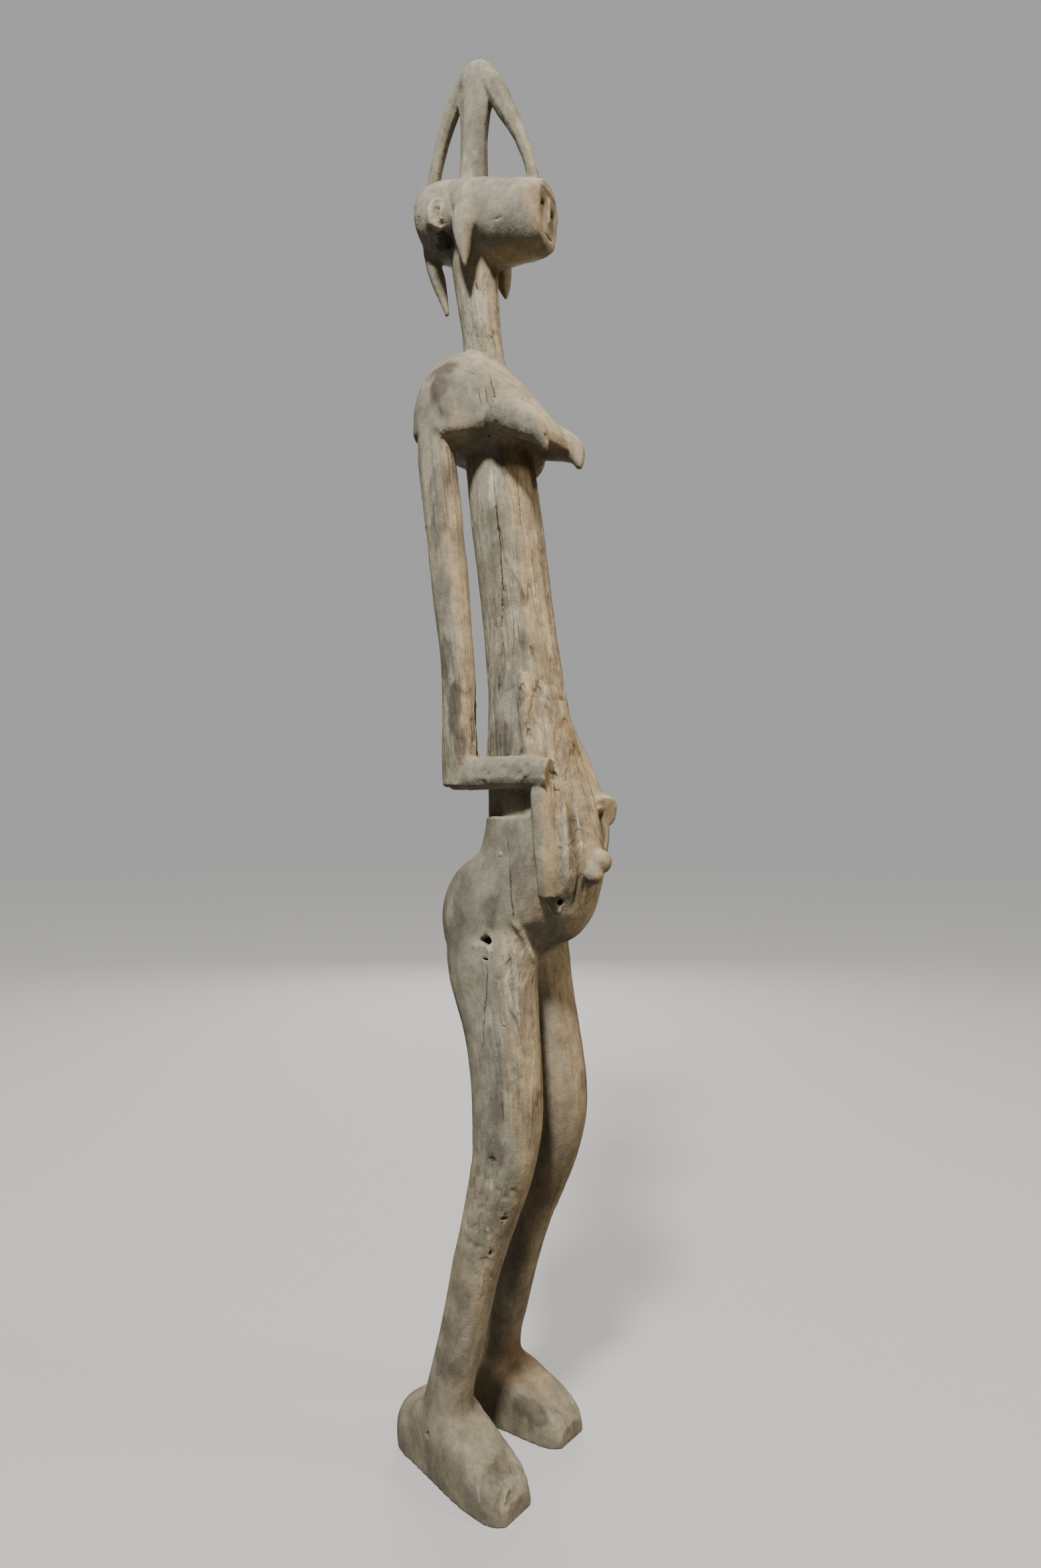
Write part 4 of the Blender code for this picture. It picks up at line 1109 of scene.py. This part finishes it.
# The studio: a plain pale floor and a pale room, both seen brighter than they light the wood. A strong lamp
# is high on the left, a weak warm one in front and a soft one behind, which shows the back from other sides.
# The camera stands near the figure's front right, at the height of its hips, and looks a little up.
FLOOR_HALF = 14.0
FLOOR_COLOUR = (0.30, 0.295, 0.285, 1.0)
FLOOR_BOUNCE = (0.10, 0.098, 0.095, 1.0)
FLOOR_GLOW = 1.28
FLOOR_ROUGHNESS = 0.9
ROOM_COLOUR = (0.80, 0.80, 0.80, 1.0)
ROOM_SEEN = 0.50
ROOM_LIGHT = 0.09
CAMERA_PLACE = (-0.6932, -0.5958, 0.6287)
CAMERA_TILT = math.radians(93.033)
CAMERA_TURN = math.radians(-50.0)
LENS = 20.0
SENSOR_WIDTH = 36.0
NEAREST_SEEN = 0.01
# Every lamp points at the figure's middle. Place, size, watts and tint of each
LAMP_AIM = (0.0, 0.0, 0.75)
LAMPS = {
    "key": ((-2.20, -1.00, 4.00), 0.6, 280.0, (1.0, 0.98, 0.93)),
    "warm": ((1.20, -2.70, 2.20), 0.8, 50.0, (1.0, 0.88, 0.70)),
    "behind": ((2.10, 2.00, 1.60), 1.6, 60.0, (1.0, 0.97, 0.93)),
}

floor_mesh = bpy.data.meshes.new("floor")
corners = [(x * FLOOR_HALF, y * FLOOR_HALF, 0) for x, y in ((-1, -1), (1, -1), (1, 1), (-1, 1))]
floor_mesh.from_pydata(corners, [], [(0, 1, 2, 3)])
floor = bpy.data.objects.new("floor", floor_mesh)
bpy.context.scene.collection.objects.link(floor)
floor_paint = bpy.data.materials.new("floor_paint")
floor_paint.use_nodes = True
paint = floor_paint.node_tree
floor_shader = paint.nodes["Principled BSDF"].inputs
floor_shader["Roughness"].default_value = FLOOR_ROUGHNESS
floor_shader["Emission Color"].default_value = FLOOR_COLOUR
looked_at = paint.nodes.new("ShaderNodeLightPath").outputs["Is Camera Ray"]
two_tones = blend(paint, looked_at, FLOOR_BOUNCE, FLOOR_COLOUR)
glow = maths(paint, "MULTIPLY", looked_at, FLOOR_GLOW)
link_chain(paint, (two_tones, floor_shader["Base Color"]), (glow, floor_shader["Emission Strength"]))
floor_mesh.materials.append(floor_paint)

world = bpy.data.worlds.new("room")
world.use_nodes = True
room = world.node_tree
lighting = room.nodes["Background"]
lighting.inputs["Color"].default_value = ROOM_COLOUR
lighting.inputs["Strength"].default_value = ROOM_LIGHT
seen = room.nodes.new("ShaderNodeBackground")
seen.inputs["Color"].default_value = ROOM_COLOUR
seen.inputs["Strength"].default_value = ROOM_SEEN
which = room.nodes.new("ShaderNodeMixShader")
looked_at = room.nodes.new("ShaderNodeLightPath").outputs["Is Camera Ray"]
surround = room.nodes["World Output"].inputs["Surface"]
link_chain(room, (looked_at, which.inputs[0]), (lighting.outputs[0], which.inputs[1]),
           (seen.outputs[0], which.inputs[2]), (which.outputs[0], surround))
bpy.context.scene.world = world

for name, (place, size, watts, tint) in LAMPS.items():
    lamp = bpy.data.lights.new(name, "AREA")
    lamp.shape = "DISK"
    lamp.size = size
    lamp.energy = watts
    lamp.color = tint
    stand = bpy.data.objects.new(name, lamp)
    bpy.context.scene.collection.objects.link(stand)
    forward = np.array(LAMP_AIM) - np.array(place)
    tilt = math.acos(-forward[2] / np.linalg.norm(forward))
    turn = math.atan2(-forward[0], forward[1])
    stand.location = place
    stand.rotation_euler = (tilt, 0, turn)

lens = bpy.data.cameras.new("camera")
lens.lens = LENS
lens.sensor_width = SENSOR_WIDTH
lens.clip_start = NEAREST_SEEN
camera = bpy.data.objects.new("camera", lens)
camera.location = CAMERA_PLACE
camera.rotation_euler = (CAMERA_TILT, 0, CAMERA_TURN)
bpy.context.scene.collection.objects.link(camera)
bpy.context.scene.camera = camera
bpy.context.scene.view_settings.view_transform = "AgX"
